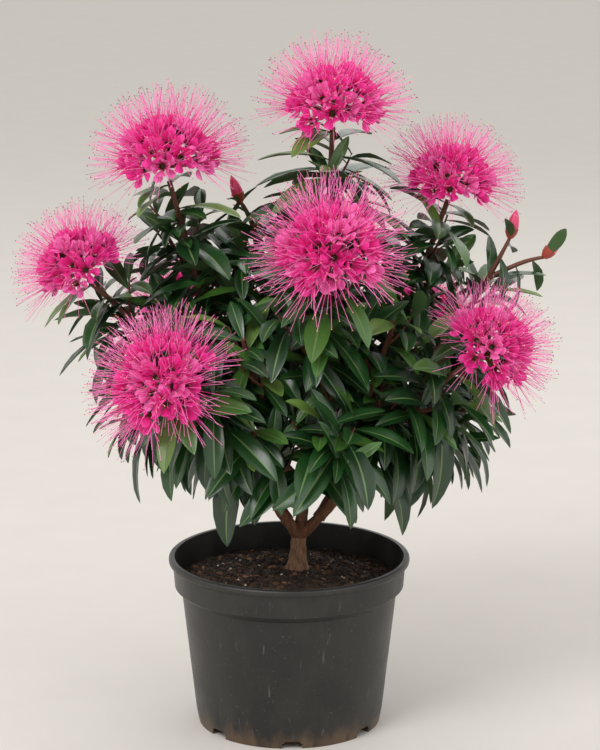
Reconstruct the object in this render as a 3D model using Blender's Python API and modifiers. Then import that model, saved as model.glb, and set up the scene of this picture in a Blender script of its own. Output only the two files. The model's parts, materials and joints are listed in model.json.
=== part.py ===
"""Potted pink penda: a flowering shrub on a short forked trunk, in a round nursery pot.

Lengths are metres and +Z is up. The origin is the centre of the pot's flat underside, and
the front of the plant faces -Y.
"""

import itertools
import math
import random
from typing import NamedTuple

import bmesh
import bpy
from mathutils import Matrix, Vector
from mathutils.bvhtree import BVHTree
from mathutils.kdtree import KDTree

UP = Vector((0.0, 0.0, 1.0))
GOLDEN_TURN = math.radians(137.5)

# Clearance between pieces that touch on the real plant
GAP = 0.0003

# Pot, turned about the Z axis
POT_HEIGHT = 0.142
POT_WALL = 0.0018
POT_FLOOR = 0.0022
POT_STEPS = 32
FOOT_RADIUS = 0.0760
CHAMFER_HEIGHT = 0.012
BODY_FOOT_RADIUS = 0.0782
SHOULDER_HEIGHT = 0.112
BODY_TOP_RADIUS = 0.0893
BAND_FOOT_HEIGHT = 0.1175
BAND_FOOT_RADIUS = 0.0952
BAND_TOP_RADIUS = 0.0970
LIP_RADIUS = 0.1000
LIP_HEIGHT = 0.0055
LIP_ROUND = 0.0020

# Drainage notches in the corner between the pot's wall and its floor
NOTCH_COUNT = 7
NOTCH_PHASE = math.radians(-88.0)
NOTCH_WIDTH = 0.0165
NOTCH_HEIGHT = 0.0065
NOTCH_DEPTH = 0.020
NOTCH_ROUND = 0.0020

# Potting mix: its edge on the wall, its crown and the flat seat of the trunk
MIX_EDGE_HEIGHT = 0.120
MIX_CROWN_HEIGHT = 0.130
MIX_SEAT_RADIUS = 0.022
MIX_DOME_RINGS = 2

# Trunk, from its flat cut to its fork
TRUNK_FOOT = Vector((0.007, 0.0, MIX_CROWN_HEIGHT + GAP))
TRUNK_FORK = Vector((0.009, 0.002, 0.163))
TRUNK_RADIUS = 0.0066
FLARE_RADIUS = 0.0040
FLARE_FADE = 6.0

# Limbs leave low and curve upward by this share of their length. A ring close to each end
# keeps that end square to the limb, where it faces another.
LIMB_SAG = 0.12
LIMB_SIDES = 6
LIMB_RINGS = (0.0, 0.02, 0.25, 0.5, 0.75, 0.98, 1.0)

# Leaves
LEAF_STATIONS = (0.30, 0.70)
LEAF_WIDTH_RATIO = 0.30
LEAF_WIDEST = 0.56
LEAF_FULLNESS = 0.9
LEAF_FOLD = math.radians(13.0)
LEAF_THICKNESS = 0.0012
OLD_LEAF_LENGTH = 0.084
YOUNG_LEAF_LENGTH = 0.056
OLD_SPREAD = math.radians(78.0)
YOUNG_SPREAD = math.radians(48.0)
COLLAR_LENGTH = 0.068
COLLAR_SPREAD = math.radians(76.0)
OLD_SAG = 0.55
YOUNG_SAG = 0.05
OLD_DROOP = math.radians(58.0)
YOUNG_DROOP = math.radians(30.0)
LEAF_ROLL = 0.45
OUTWARD_FACE = 0.6
STEM_FACE = 0.5
STALK_LEAF_SIZE = 0.62
LEAF_FLOOR = 0.163
TRUNK_CLEAR_RADIUS = 0.046
TRUNK_CLEAR_HEIGHT = 0.202
FRONT_CLEAR_WIDTH = 0.036
TWIG_LEAVES = 5
STALK_LEAVES = 3
LEAF_SWINGS = (0.0, 28.0, -28.0, 55.0, -55.0)
LEAF_SIZES = (1.0, 0.84, 0.70)
SPACE_OVERLAP = 0.012

# Leafy shoots: a stem with side twigs
STEM_RADIUS = 0.0030
STEM_TIP_RADIUS = 0.0022
TWIG_RADIUS = 0.0023
TWIG_TIP_RADIUS = 0.0015
TWIG_LENGTH = 0.042
TWIG_SPREAD = math.radians(52.0)
TWIG_RISE = 0.35
TWIG_PITCH = 0.050
LEAF_PITCH = 0.0106
TWIG_FIRST = 0.12
TWIG_LAST = 0.74
TWIG_CLEARANCE = 0.002
STEM_FIRST_LEAF = 0.10
TWIG_FIRST_LEAF = 0.35
STALK_FIRST_LEAF = 0.45
LAST_LEAF = 0.985
LEAF_ROOT_DEPTH = 0.0006
FIRST_SEED = 11
SURVEY_STEPS = 10
STEM_RINGS = (0.0, 0.02, 0.33, 0.67, 1.0)
TWIG_RINGS = (0.0, 0.5, 1.0)

# Flower heads: a dome of packed stamens that single bundles of stamens stand out of
HEAD_REACH = 0.064
HEAD_CENTRE_RISE = 0.010
HEAD_CORE_SHARE = 0.66
HEAD_UNDERSIDE = math.radians(90.0)
HEAD_CORE_STEPS = 10
HEAD_CORE_RINGS = 4
SPIKE_COUNT = 22
SPIKE_RADIUS = 0.0050
SPIKE_SEAT_SHARE = 0.52

# Flower buds
BUD_LENGTH = 0.024
BUD_RADIUS = 0.0050
BUD_SIDES = 5


class LimbPlan(NamedTuple):
    """Where a bough leaves what carries it, where its tip is, and how thick it is."""

    parent: str
    place: float
    tip: tuple
    base_radius: float
    tip_radius: float


class ShootPlan(NamedTuple):
    """The stem of a leafy shoot that grows on from a bough, and what it carries."""

    bough: str
    tip: tuple
    head_axis: tuple = ()
    head_reach: float = HEAD_REACH
    buds: tuple = ()


BOUGHS = {
    "bough_left": LimbPlan("trunk", 0.86, (-0.025, -0.040, 0.225), 0.0046, 0.0034),
    "bough_right": LimbPlan("trunk", 0.86, (0.055, -0.030, 0.223), 0.0046, 0.0034),
    "bough_centre": LimbPlan("trunk", 0.95, (0.012, -0.022, 0.218), 0.0042, 0.0032),
    "bough_top": LimbPlan("trunk", 0.95, (0.022, 0.016, 0.272), 0.0044, 0.0033),
    "bough_upper_left": LimbPlan("bough_left", 0.25, (-0.043, 0.008, 0.268), 0.0041, 0.0032),
    "bough_side_left": LimbPlan("bough_upper_left", 0.50, (-0.064, 0.002, 0.266), 0.0032, 0.0028),
    "bough_upper_right": LimbPlan("bough_right", 0.30, (0.070, 0.020, 0.268), 0.0041, 0.0032),
    "bough_far_right": LimbPlan("bough_upper_right", 0.55, (0.101, 0.026, 0.272), 0.0032, 0.0028),
    "bough_mid_left": LimbPlan("bough_top", 0.55, (-0.004, 0.036, 0.282), 0.0031, 0.0028),
    "bough_mid_right": LimbPlan("bough_right", 0.62, (0.056, -0.022, 0.250), 0.0031, 0.0028),
    "bough_front_left": LimbPlan("bough_centre", 0.55, (-0.010, -0.032, 0.242), 0.0031, 0.0028),
    "bough_low_front": LimbPlan("bough_centre", 0.40, (0.012, -0.046, 0.212), 0.0029, 0.0026),
    "bough_back_left": LimbPlan("bough_upper_left", 0.20, (-0.038, 0.052, 0.252), 0.0034, 0.0028),
    "bough_back_right": LimbPlan("bough_upper_right", 0.22, (0.060, 0.066, 0.248), 0.0034, 0.0028),
    "bough_back": LimbPlan("bough_top", 0.25, (0.012, 0.062, 0.270), 0.0033, 0.0028),
    "bough_low_left": LimbPlan("bough_back_left", 0.45, (-0.058, 0.042, 0.228), 0.0029, 0.0026),
    "bough_low_right": LimbPlan("bough_back_right", 0.45, (0.084, 0.044, 0.226), 0.0029, 0.0026),
    "bough_low_back": LimbPlan("bough_back", 0.45, (0.018, 0.066, 0.226), 0.0029, 0.0026),
}

SHOOTS = {
    "foliage_lower_left": ShootPlan(
        "bough_left", (-0.088, -0.100, 0.302), (-0.42, -0.60, 0.68), 0.072
    ),
    "foliage_right": ShootPlan(
        "bough_right", (0.149, -0.045, 0.319), (0.62, -0.42, 0.66), 0.064
    ),
    "foliage_centre": ShootPlan(
        "bough_centre", (0.032, -0.080, 0.399), (0.0, -0.62, 0.78), 0.074
    ),
    "foliage_top": ShootPlan(
        "bough_top", (0.035, 0.000, 0.498), (0.05, -0.26, 0.96), 0.071
    ),
    "foliage_upper_left": ShootPlan(
        "bough_upper_left", (-0.097, 0.020, 0.452), (-0.03, -0.22, 0.97), 0.075
    ),
    "foliage_left": ShootPlan(
        "bough_side_left", (-0.162, 0.010, 0.370), (-0.42, -0.20, 0.88), 0.064
    ),
    "foliage_upper_right": ShootPlan(
        "bough_upper_right", (0.130, 0.035, 0.434), (0.14, -0.22, 0.97), 0.065
    ),
    "foliage_far_right": ShootPlan(
        "bough_far_right",
        (0.164, 0.020, 0.373),
        buds=((0.180, 0.020, 0.405), (0.208, 0.020, 0.389)),
    ),
    "foliage_mid_left": ShootPlan(
        "bough_mid_left",
        (-0.030, 0.050, 0.412),
        buds=((-0.040, 0.048, 0.430), (-0.016, 0.036, 0.405)),
    ),
    "foliage_mid_right": ShootPlan("bough_mid_right", (0.084, -0.052, 0.350)),
    "foliage_front_left": ShootPlan("bough_front_left", (-0.036, -0.062, 0.338)),
    "foliage_low_front": ShootPlan("bough_low_front", (0.030, -0.092, 0.275)),
    "foliage_back_left": ShootPlan(
        "bough_back_left", (-0.088, 0.122, 0.312), (-0.38, 0.66, 0.64), 0.066
    ),
    "foliage_back_right": ShootPlan(
        "bough_back_right", (0.108, 0.124, 0.300), (0.42, 0.66, 0.62), 0.064
    ),
    "foliage_back": ShootPlan(
        "bough_back", (0.012, 0.128, 0.345), (0.02, 0.68, 0.72), 0.066
    ),
    "foliage_low_left": ShootPlan("bough_low_left", (-0.140, 0.032, 0.272)),
    "foliage_low_right": ShootPlan("bough_low_right", (0.155, 0.038, 0.258)),
    "foliage_low_back": ShootPlan("bough_low_back", (0.012, 0.125, 0.268)),
}

COLOURS = {
    "pot": (0.028, 0.027, 0.026, 1.0),
    "mix": (0.045, 0.024, 0.014, 1.0),
    "bark": (0.190, 0.085, 0.040, 1.0),
    "leaf": (0.012, 0.060, 0.014, 1.0),
    "flower": (0.800, 0.020, 0.210, 1.0),
}


class Limb(NamedTuple):
    """A tapering limb along a curve that leaves its start towards its bend."""

    start: Vector
    bend: Vector
    end: Vector
    base_radius: float
    tip_radius: float
    flare: float = 0.0

    def point(self, share):
        """The centre of the limb at this share of its length."""
        first = self.start.lerp(self.bend, share)
        return first.lerp(self.bend.lerp(self.end, share), share)

    def heading(self, share):
        """The way the limb grows at this share of its length."""
        return (self.bend - self.start).lerp(self.end - self.bend, share).normalized()

    def radius(self, share):
        """The limb's radius there, with the root flare at its foot."""
        taper = self.base_radius + (self.tip_radius - self.base_radius) * share
        return taper + self.flare * math.exp(-FLARE_FADE * share)


def clear_scene():
    """Remove every object that the scene opens with."""
    for old in list(bpy.data.objects):
        bpy.data.objects.remove(old, do_unlink=True)


def make_collection(name, helpers=False):
    """A new collection in the scene. Helpers are left out of renders."""
    collection = bpy.data.collections.new(name)
    bpy.context.scene.collection.children.link(collection)
    collection.hide_render = helpers
    return collection


def make_material(name, colour, roughness):
    """A plain Principled material."""
    material = bpy.data.materials.new(name)
    material.use_nodes = True
    shader = material.node_tree.nodes["Principled BSDF"]
    shader.inputs["Base Color"].default_value = colour
    shader.inputs["Roughness"].default_value = roughness
    shader.inputs["Metallic"].default_value = 0.0
    return material


def place(name, data, collection, *materials):
    """Link new object data into a collection, dressed in its materials."""
    obj = bpy.data.objects.new(name, data)
    collection.objects.link(obj)
    for material in materials:
        data.materials.append(material)
    return obj


def as_helper(obj):
    """Keep an object that only shapes others out of the part."""
    obj.hide_render = True
    obj.display_type = "WIRE"
    return obj


def baked(obj):
    """Replace an object by the plain mesh that its modifiers or its curve give, at the origin."""
    graph = bpy.context.evaluated_depsgraph_get()
    mesh = bpy.data.meshes.new_from_object(obj.evaluated_get(graph))
    mesh.transform(obj.matrix_world)
    result = bpy.data.objects.new(obj.name, mesh)
    for collection in obj.users_collection:
        collection.objects.link(result)
    name = obj.name
    bpy.data.objects.remove(obj)
    result.name = name
    return result


def weld_caps(mesh):
    """Join the caps of a tube to its sides, all facing out."""
    shape = bmesh.new()
    shape.from_mesh(mesh)
    bmesh.ops.remove_doubles(shape, verts=shape.verts, dist=1e-6)
    bmesh.ops.recalc_face_normals(shape, faces=shape.faces)
    shape.to_mesh(mesh)
    shape.free()


def islands(shape):
    """The faces of a bmesh in groups that hang together, the group with most faces first."""
    found = []
    left = set(shape.faces)
    while left:
        group = {left.pop()}
        edge = list(group)
        while edge:
            for link in edge.pop().edges:
                fresh = [face for face in link.link_faces if face in left]
                left.difference_update(fresh)
                group.update(fresh)
                edge.extend(fresh)
        found.append(group)
    return sorted(found, key=len, reverse=True)


def keep_largest(mesh):
    """Drop the scraps and the sealed hollows that a Boolean leaves beside the main body."""
    shape = bmesh.new()
    shape.from_mesh(mesh)
    scraps = [face for scrap in islands(shape)[1:] for face in scrap]
    bmesh.ops.delete(shape, geom=scraps, context="FACES")
    shape.to_mesh(mesh)
    shape.free()


def ring_section(name, sides, collection):
    """A closed outline of unit radius that a tube's curve is swept with."""
    curve = bpy.data.curves.new(name, "CURVE")
    curve.dimensions = "2D"
    outline = curve.splines.new("POLY")
    outline.points.add(sides - 1)
    outline.use_cyclic_u = True
    for index, corner in enumerate(outline.points):
        turn = math.tau * index / sides
        corner.co = (math.cos(turn), math.sin(turn), 0.0, 1.0)
    return as_helper(place(name, curve, collection))


def tube(name, limb, shares, section, collection, swell=0.0):
    """A limb as a closed mesh with a ring at each share. Swell makes it thicker and longer."""
    centres = [limb.point(share) for share in shares]
    centres[0] = centres[0] - limb.heading(0.0) * swell
    centres[-1] = centres[-1] + limb.heading(1.0) * swell
    curve = bpy.data.curves.new(name, "CURVE")
    curve.dimensions = "3D"
    curve.bevel_mode = "OBJECT"
    curve.bevel_object = section
    curve.use_fill_caps = True
    spline = curve.splines.new("POLY")
    spline.points.add(len(shares) - 1)
    for point, centre, share in zip(spline.points, centres, shares):
        point.co = (*centre, 1.0)
        point.radius = limb.radius(share) + swell
    body = baked(place(name, curve, collection))
    weld_caps(body.data)
    return body


def turned(name, profile, steps, collection, *materials):
    """A turned shape from (radius, height) points that run down its outer side."""
    mesh = bpy.data.meshes.new(name)
    points = [(radius, 0.0, height) for radius, height in profile]
    mesh.from_pydata(points, [(i, i + 1) for i in range(len(points) - 1)], [])
    obj = place(name, mesh, collection, *materials)
    screw = obj.modifiers.new("Turn", "SCREW")
    screw.steps = screw.render_steps = steps
    screw.use_merge_vertices = True
    screw.merge_threshold = 1e-5
    return obj


def arc(centre_radius, centre_height, radius, start, end, steps):
    """The points of a round stretch of a profile, between two angles in degrees."""
    turns = [math.radians(start + (end - start) * i / steps) for i in range(steps + 1)]
    return [
        (centre_radius + radius * math.cos(turn), centre_height + radius * math.sin(turn))
        for turn in turns
    ]


# Heights at which the pot's wall changes slope, with its outer radius there
WALL_STATIONS = (
    (0.0, FOOT_RADIUS),
    (CHAMFER_HEIGHT, BODY_FOOT_RADIUS),
    (SHOULDER_HEIGHT, BODY_TOP_RADIUS),
    (BAND_FOOT_HEIGHT, BAND_FOOT_RADIUS),
    (POT_HEIGHT, BAND_TOP_RADIUS),
)


def wall_radius(height):
    """The outer radius of the pot's wall at a height, without its lip."""
    for (low, low_radius), (high, high_radius) in zip(WALL_STATIONS, WALL_STATIONS[1:]):
        if height <= high:
            share = (height - low) / (high - low)
            return low_radius + (high_radius - low_radius) * share
    return BAND_TOP_RADIUS


def inside_of_wall(low, high, clearance):
    """Points up the inner side of the wall between two heights."""
    heights = [low] + [z for z, _ in WALL_STATIONS if low < z < high] + [high]
    return [(wall_radius(z) - POT_WALL - clearance, z) for z in heights]


def build_pot(parts, helpers, material):
    """The pot: one turned shell with a lip, a band and drainage notches."""
    lip_centre = LIP_RADIUS - LIP_ROUND
    outside = [(wall_radius(z), z) for z, _ in reversed(WALL_STATIONS[:-1])]
    lip_foot = POT_HEIGHT - LIP_HEIGHT
    profile = (
        [(0.0, POT_FLOOR)]
        + inside_of_wall(POT_FLOOR, POT_HEIGHT, 0.0)
        + arc(lip_centre, POT_HEIGHT - LIP_ROUND, LIP_ROUND, 90, 0, 2)
        + arc(lip_centre, lip_foot + LIP_ROUND, LIP_ROUND, 0, -90, 2)
        + [(wall_radius(lip_foot), lip_foot)]
        + outside
        + [(0.0, 0.0)]
    )
    pot = turned("pot", profile, POT_STEPS, parts, material)
    for index in range(NOTCH_COUNT):
        bpy.ops.mesh.primitive_cube_add(size=1.0)
        cutter = bpy.context.object
        cutter.name = f"notch_cutter_{index + 1}"
        cutter.data.transform(
            Matrix.Diagonal((NOTCH_DEPTH, NOTCH_WIDTH, 2 * NOTCH_HEIGHT, 1.0))
        )
        turn = NOTCH_PHASE + math.tau * index / NOTCH_COUNT
        cutter.location = (FOOT_RADIUS * math.cos(turn), FOOT_RADIUS * math.sin(turn), 0.0)
        cutter.rotation_euler.z = turn
        bevel = cutter.modifiers.new("Round", "BEVEL")
        bevel.width = NOTCH_ROUND
        bevel.segments = 1
        for collection in cutter.users_collection:
            collection.objects.unlink(cutter)
        helpers.objects.link(as_helper(cutter))
        cut = pot.modifiers.new(f"Notch {index + 1}", "BOOLEAN")
        cut.operation = "DIFFERENCE"
        cut.object = cutter
    return pot


def build_mix(parts, material):
    """The potting mix: it fills the pot to its edge height and rises to the trunk's seat."""
    edge_radius = wall_radius(MIX_EDGE_HEIGHT) - POT_WALL - GAP
    dome = []
    for ring in range(1, MIX_DOME_RINGS):
        share = ring / MIX_DOME_RINGS
        radius = MIX_SEAT_RADIUS + (edge_radius - MIX_SEAT_RADIUS) * share
        fall = (1.0 - math.cos(math.pi * share)) / 2.0
        dome.append((radius, MIX_CROWN_HEIGHT + (MIX_EDGE_HEIGHT - MIX_CROWN_HEIGHT) * fall))
    side = inside_of_wall(POT_FLOOR + GAP, MIX_EDGE_HEIGHT, GAP)
    profile = (
        [(0.0, MIX_CROWN_HEIGHT), (MIX_SEAT_RADIUS, MIX_CROWN_HEIGHT)]
        + dome
        + list(reversed(side))
        + [(0.0, POT_FLOOR + GAP)]
    )
    return turned("potting_mix", profile, POT_STEPS, parts, material)


def grow_limb(start, end, base_radius, tip_radius):
    """A limb that leaves low and curves up to its tip."""
    chord = end - start
    climb = UP - chord * (chord.dot(UP) / chord.length_squared)
    bend = start.lerp(end, 0.5) - climb * (LIMB_SAG * chord.length)
    return Limb(start, bend, end, base_radius, tip_radius)


def plan_limbs():
    """The trunk and every bough, worked out from what carries them."""
    middle = TRUNK_FOOT.lerp(TRUNK_FORK, 0.5)
    bend = Vector((TRUNK_FOOT.x, TRUNK_FOOT.y, middle.z))
    limbs = {
        "trunk": Limb(
            TRUNK_FOOT, bend, TRUNK_FORK, TRUNK_RADIUS, TRUNK_RADIUS * 0.92, FLARE_RADIUS
        )
    }
    for name, plan in BOUGHS.items():
        start = limbs[plan.parent].point(plan.place)
        limbs[name] = grow_limb(start, Vector(plan.tip), plan.base_radius, plan.tip_radius)
    return limbs


def build_limbs(limbs, section, parts, helpers, material):
    """The trunk and the boughs, each cut clear of the ones it grows from or beside."""
    built = {}
    for name, limb in limbs.items():
        obj = tube(name, limb, LIMB_RINGS, section, parts)
        obj.data.materials.append(material)
        for other in built:
            cut = obj.modifiers.new(f"Clear of {other}", "BOOLEAN")
            cut.operation = "DIFFERENCE"
            cut.object = helpers.objects[f"{other}_cutter"]
        obj = baked(obj)
        keep_largest(obj.data)
        built[name] = obj
        as_helper(tube(f"{name}_cutter", limb, LIMB_RINGS, section, helpers, GAP))
    return built


def across(heading):
    """Two directions square to a heading and to each other."""
    side = heading.cross(UP if abs(heading.z) < 0.9 else Vector((1.0, 0.0, 0.0)))
    side.normalize()
    return side, heading.cross(side).normalized()


def leaf_half_width(share, width):
    """Half of a leaf's width at this share of its length."""
    power = math.log(0.5) / math.log(LEAF_WIDEST)
    swell = share**power
    return width / 2.0 * (4.0 * swell * (1.0 - swell)) ** LEAF_FULLNESS


def leaf_sections(root, out, up, length, droop):
    """The corner points of a folded leaf that bends along an arc away from its upper face."""
    side = out.cross(up).normalized()
    normal = side.cross(out).normalized()
    width = length * LEAF_WIDTH_RATIO
    radius = length / droop

    def on_rib(share):
        bent = droop * share
        return root + out * (math.sin(bent) * radius) - normal * ((1.0 - math.cos(bent)) * radius)

    sections = [[root]]
    for share in LEAF_STATIONS:
        bent = droop * share
        lift = normal * math.cos(bent) + out * math.sin(bent)
        half = leaf_half_width(share, width)
        rise = lift * (half * math.sin(LEAF_FOLD))
        reach = side * (half * math.cos(LEAF_FOLD))
        rib = on_rib(share)
        sections.append([rib - reach + rise, rib + reach + rise, rib - lift * LEAF_THICKNESS])
    return sections + [[on_rib(1.0)]]


def lofted(sections):
    """Points and triangles of a closed skin over sections of which the first and last are points."""
    points = [point for section in sections for point in section]
    faces = []
    low = 0
    for section, above in zip(sections, sections[1:]):
        high = low + len(section)
        sides = max(len(section), len(above))
        for corner in range(sides):
            beside = (corner + 1) % sides
            if len(above) == 1:
                faces.append((low + corner, low + beside, high))
            elif len(section) == 1:
                faces.append((low, high + beside, high + corner))
            else:
                faces.append((low + corner, low + beside, high + beside))
                faces.append((low + corner, high + beside, high + corner))
        low = high
    return points, faces


def faces_of(obj):
    """The points and faces of a mesh object that stands at the origin."""
    corners = [vertex.co.copy() for vertex in obj.data.vertices]
    return corners, [tuple(face.vertices) for face in obj.data.polygons]


class Head(NamedTuple):
    """A flower head: a dome about an axis, on the end of its stem."""

    base: Vector
    axis: Vector
    reach: float

    @property
    def centre(self):
        """The point that the stamens spread from."""
        return self.base + self.axis * (HEAD_CENTRE_RISE * self.reach / HEAD_REACH)

    def holds(self, point):
        """Whether a point lies among the stamens."""
        arm = point - self.centre
        return arm.length < self.reach * 0.92 and arm.dot(self.axis) > -0.10 * self.reach


def spike_directions(head, seed):
    """Evenly spread directions over a head's dome, with a small seeded scatter."""
    scatter = random.Random(seed)
    side, other = across(head.axis)
    span = 1.0 - math.cos(HEAD_UNDERSIDE)
    directions = []
    for index in range(SPIKE_COUNT):
        polar = math.acos(1.0 - span * (index + 0.5) / SPIKE_COUNT)
        turn = index * GOLDEN_TURN + scatter.uniform(-0.25, 0.25)
        flat = side * math.cos(turn) + other * math.sin(turn)
        reach = head.reach * scatter.uniform(0.90, 1.0)
        directions.append((head.axis * math.cos(polar) + flat * math.sin(polar), reach))
    return directions


def build_head(head, seed, collection):
    """The solids of one flower head: its core and the bundles of stamens round it."""
    core_radius = head.reach * HEAD_CORE_SHARE
    rise = (head.centre - head.base).length
    last = math.degrees(HEAD_UNDERSIDE)
    profile = arc(0.0, rise, core_radius, 90.0, 90.0 - last, HEAD_CORE_RINGS)
    profile = [(0.0, profile[0][1])] + profile[1:] + [(0.0, -0.0015)]
    core = turned("head_core", profile, HEAD_CORE_STEPS, collection)
    solids = [stood_on(core, head.base, head.axis)]
    for direction, reach in spike_directions(head, seed):
        seat = core_radius * SPIKE_SEAT_SHARE
        length = reach - seat
        shape = bmesh.new()
        centre = head.centre + direction * (seat + length / 2.0)
        turn = direction.to_track_quat("Z", "Y").to_matrix().to_4x4()
        bmesh.ops.create_cone(
            shape,
            cap_ends=True,
            segments=3,
            radius1=SPIKE_RADIUS,
            radius2=0.0,
            depth=length,
            matrix=Matrix.Translation(centre) @ turn,
        )
        mesh = bpy.data.meshes.new("spike")
        shape.to_mesh(mesh)
        shape.free()
        solids.append(place("spike", mesh, collection))
    return solids


def stood_on(obj, base, axis):
    """Turn an object's own Z axis to an axis, move it to its base, and bake it there."""
    obj.matrix_world = Matrix.Translation(base) @ axis.to_track_quat("Z", "Y").to_matrix().to_4x4()
    bpy.context.view_layer.update()
    return baked(obj)


def build_bud(base, axis, collection):
    """A pointed flower bud on the end of its twig."""
    profile = [
        (0.0, BUD_LENGTH),
        (BUD_RADIUS * 0.62, BUD_LENGTH * 0.72),
        (BUD_RADIUS, BUD_LENGTH * 0.42),
        (BUD_RADIUS * 0.7, BUD_LENGTH * 0.14),
        (0.0, -0.001),
    ]
    return stood_on(turned("bud", profile, BUD_SIDES, collection), base, axis)


class Shoot:
    """A leafy shoot: its stem and twigs, its leaves, and its flower head or buds."""

    def __init__(self, name, plan, carrier, seed):
        self.name = name
        self.plan = plan
        self.seed = seed
        self.chance = random.Random(seed)
        start = carrier.end + carrier.heading(1.0) * GAP
        end = Vector(plan.tip)
        bend = start + carrier.heading(1.0) * (0.4 * (end - start).length)
        self.stem = Limb(start, bend, end, STEM_RADIUS, STEM_TIP_RADIUS)
        self.twigs = []
        self.stalks = [self.grow_stalk(Vector(bud)) for bud in plan.buds]
        self.leaves = []
        self.head = None
        if plan.head_axis:
            self.head = Head(end, Vector(plan.head_axis).normalized(), plan.head_reach)

    def grow_stalk(self, tip):
        """The bare twig from the end of the stem to a bud."""
        end = self.stem.end
        bend = end.lerp(tip, 0.5) + self.stem.heading(1.0) * (0.15 * (tip - end).length)
        return Limb(end - self.stem.heading(1.0) * 0.002, bend, tip, TWIG_RADIUS, TWIG_TIP_RADIUS)

    def length(self):
        """The distance that the stem spans."""
        return (self.stem.end - self.stem.start).length

    def branches(self):
        """The stem, the side twigs and the stalks of the buds."""
        return [self.stem, *self.twigs, *self.stalks]

    def propose_twigs(self):
        """The side twigs by rule: spaced up the stem and turned by the golden angle."""
        phase = self.chance.uniform(0.0, math.tau)
        count = round(self.length() / TWIG_PITCH)
        for index in range(count):
            place_on_stem = (index + 0.5 * self.chance.random()) / count
            share = TWIG_FIRST + (TWIG_LAST - TWIG_FIRST) * place_on_stem
            root = self.stem.point(share)
            heading = self.stem.heading(share)
            away = turned_away(heading, phase + index * GOLDEN_TURN, TWIG_SPREAD)
            length = TWIG_LENGTH * self.chance.uniform(0.8, 1.2)
            end = root + (away + UP * TWIG_RISE).normalized() * length
            yield Limb(root, root + away * (length * 0.5), end, TWIG_RADIUS, TWIG_TIP_RADIUS)

    def propose_leaves(self):
        """Each leaf by rule, as the shapes that it may take, best first."""
        rows = [(self.stem, round(self.length() / LEAF_PITCH), STEM_FIRST_LEAF, 1.0)]
        rows += [(twig, TWIG_LEAVES, TWIG_FIRST_LEAF, 1.0) for twig in self.twigs]
        rows += [(stalk, STALK_LEAVES, STALK_FIRST_LEAF, STALK_LEAF_SIZE) for stalk in self.stalks]
        for branch, count, first, size in rows:
            phase = self.chance.uniform(0.0, math.tau)
            for index in range(count):
                youth = index / (count - 1)
                share = first + (LAST_LEAF - first) * youth**0.85
                yield self.leaf_shapes(branch, share, youth, phase + index * GOLDEN_TURN, size)

    def leaf_shapes(self, branch, share, youth, turn, full_size):
        """The shapes that one leaf may take. Youth is 0 for the oldest leaf of its branch."""
        heading = branch.heading(share)
        collar = self.head is not None and branch is self.stem
        young_length = COLLAR_LENGTH if collar else YOUNG_LEAF_LENGTH
        young_spread = COLLAR_SPREAD if collar else YOUNG_SPREAD
        length = blend(OLD_LEAF_LENGTH, young_length, youth) * full_size
        length *= self.chance.uniform(0.85, 1.1)
        spread = blend(OLD_SPREAD, young_spread, youth) + self.chance.uniform(-0.15, 0.15)
        droop = blend(OLD_DROOP, YOUNG_DROOP, youth) * self.chance.uniform(0.7, 1.2)
        sag = blend(OLD_SAG, YOUNG_SAG, youth) * self.chance.uniform(0.6, 1.3)
        roll = self.chance.uniform(-LEAF_ROLL, LEAF_ROLL)
        shapes = []
        for size, swing in itertools.product(LEAF_SIZES, LEAF_SWINGS):
            away = turned_away(heading, turn + math.radians(swing), spread)
            out = (away - UP * sag).normalized()
            root = branch.point(share) - out * LEAF_ROOT_DEPTH
            outward = Vector((root.x - TRUNK_FOOT.x, root.y - TRUNK_FOOT.y, 0.0)).normalized()
            face = UP + heading * STEM_FACE + outward * OUTWARD_FACE + across(out)[0] * roll
            shapes.append(leaf_sections(root, out, face, length * size, droop))
        return shapes


def blend(first, last, share):
    """The value at this share of the way from the first to the last."""
    return first + (last - first) * share


def turned_away(heading, turn, spread):
    """A direction that leans from a heading by the spread, turned about it."""
    side, other = across(heading)
    flat = side * math.cos(turn) + other * math.sin(turn)
    return heading * math.cos(spread) + flat * math.sin(spread)


def ringed(limb, swell):
    """Points and faces of a plain three-sided sleeve round a limb."""
    sections = [[limb.start - limb.heading(0.0) * swell]]
    for share in STEM_RINGS:
        side, other = across(limb.heading(share))
        radius = limb.radius(share) + swell
        turns = [math.tau * corner / 3.0 for corner in range(3)]
        sections.append(
            [limb.point(share) + (side * math.cos(t) + other * math.sin(t)) * radius for t in turns]
        )
    sections.append([limb.end + limb.heading(1.0) * swell])
    return lofted(sections)


def beside_trunk(point):
    """Whether a point lies in the open space round the fork, where the trunk shows."""
    aside = point.x - TRUNK_FORK.x
    ahead = point.y - TRUNK_FORK.y
    close = math.hypot(aside, ahead) < TRUNK_CLEAR_RADIUS
    in_front = ahead < 0.0 and abs(aside) < FRONT_CLEAR_WIDTH
    return point.z < TRUNK_CLEAR_HEIGHT and (close or in_front)


class Blade(NamedTuple):
    """A placed leaf as the tests see it: its middle, its size, and its whole and outer skin."""

    owner: int
    middle: Vector
    radius: float
    whole: BVHTree
    outer: BVHTree


def as_blade(owner, sections):
    """The test shapes of a leaf."""
    middle = (sections[0][0] + sections[-1][0]) / 2.0
    radius = max((point - middle).length for section in sections for point in section)
    whole = BVHTree.FromPolygons(*lofted(sections))
    inner = [(sections[1][0] + sections[1][1]) / 2.0]
    outer = BVHTree.FromPolygons(*lofted([inner, *sections[1:]]))
    return Blade(owner, middle, radius, whole, outer)


def point_tree(rows):
    """A tree that finds the nearest of the points, each with its owner."""
    tree = KDTree(len(rows))
    for point, owner in rows:
        tree.insert(point, owner)
    tree.balance()
    return tree


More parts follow.
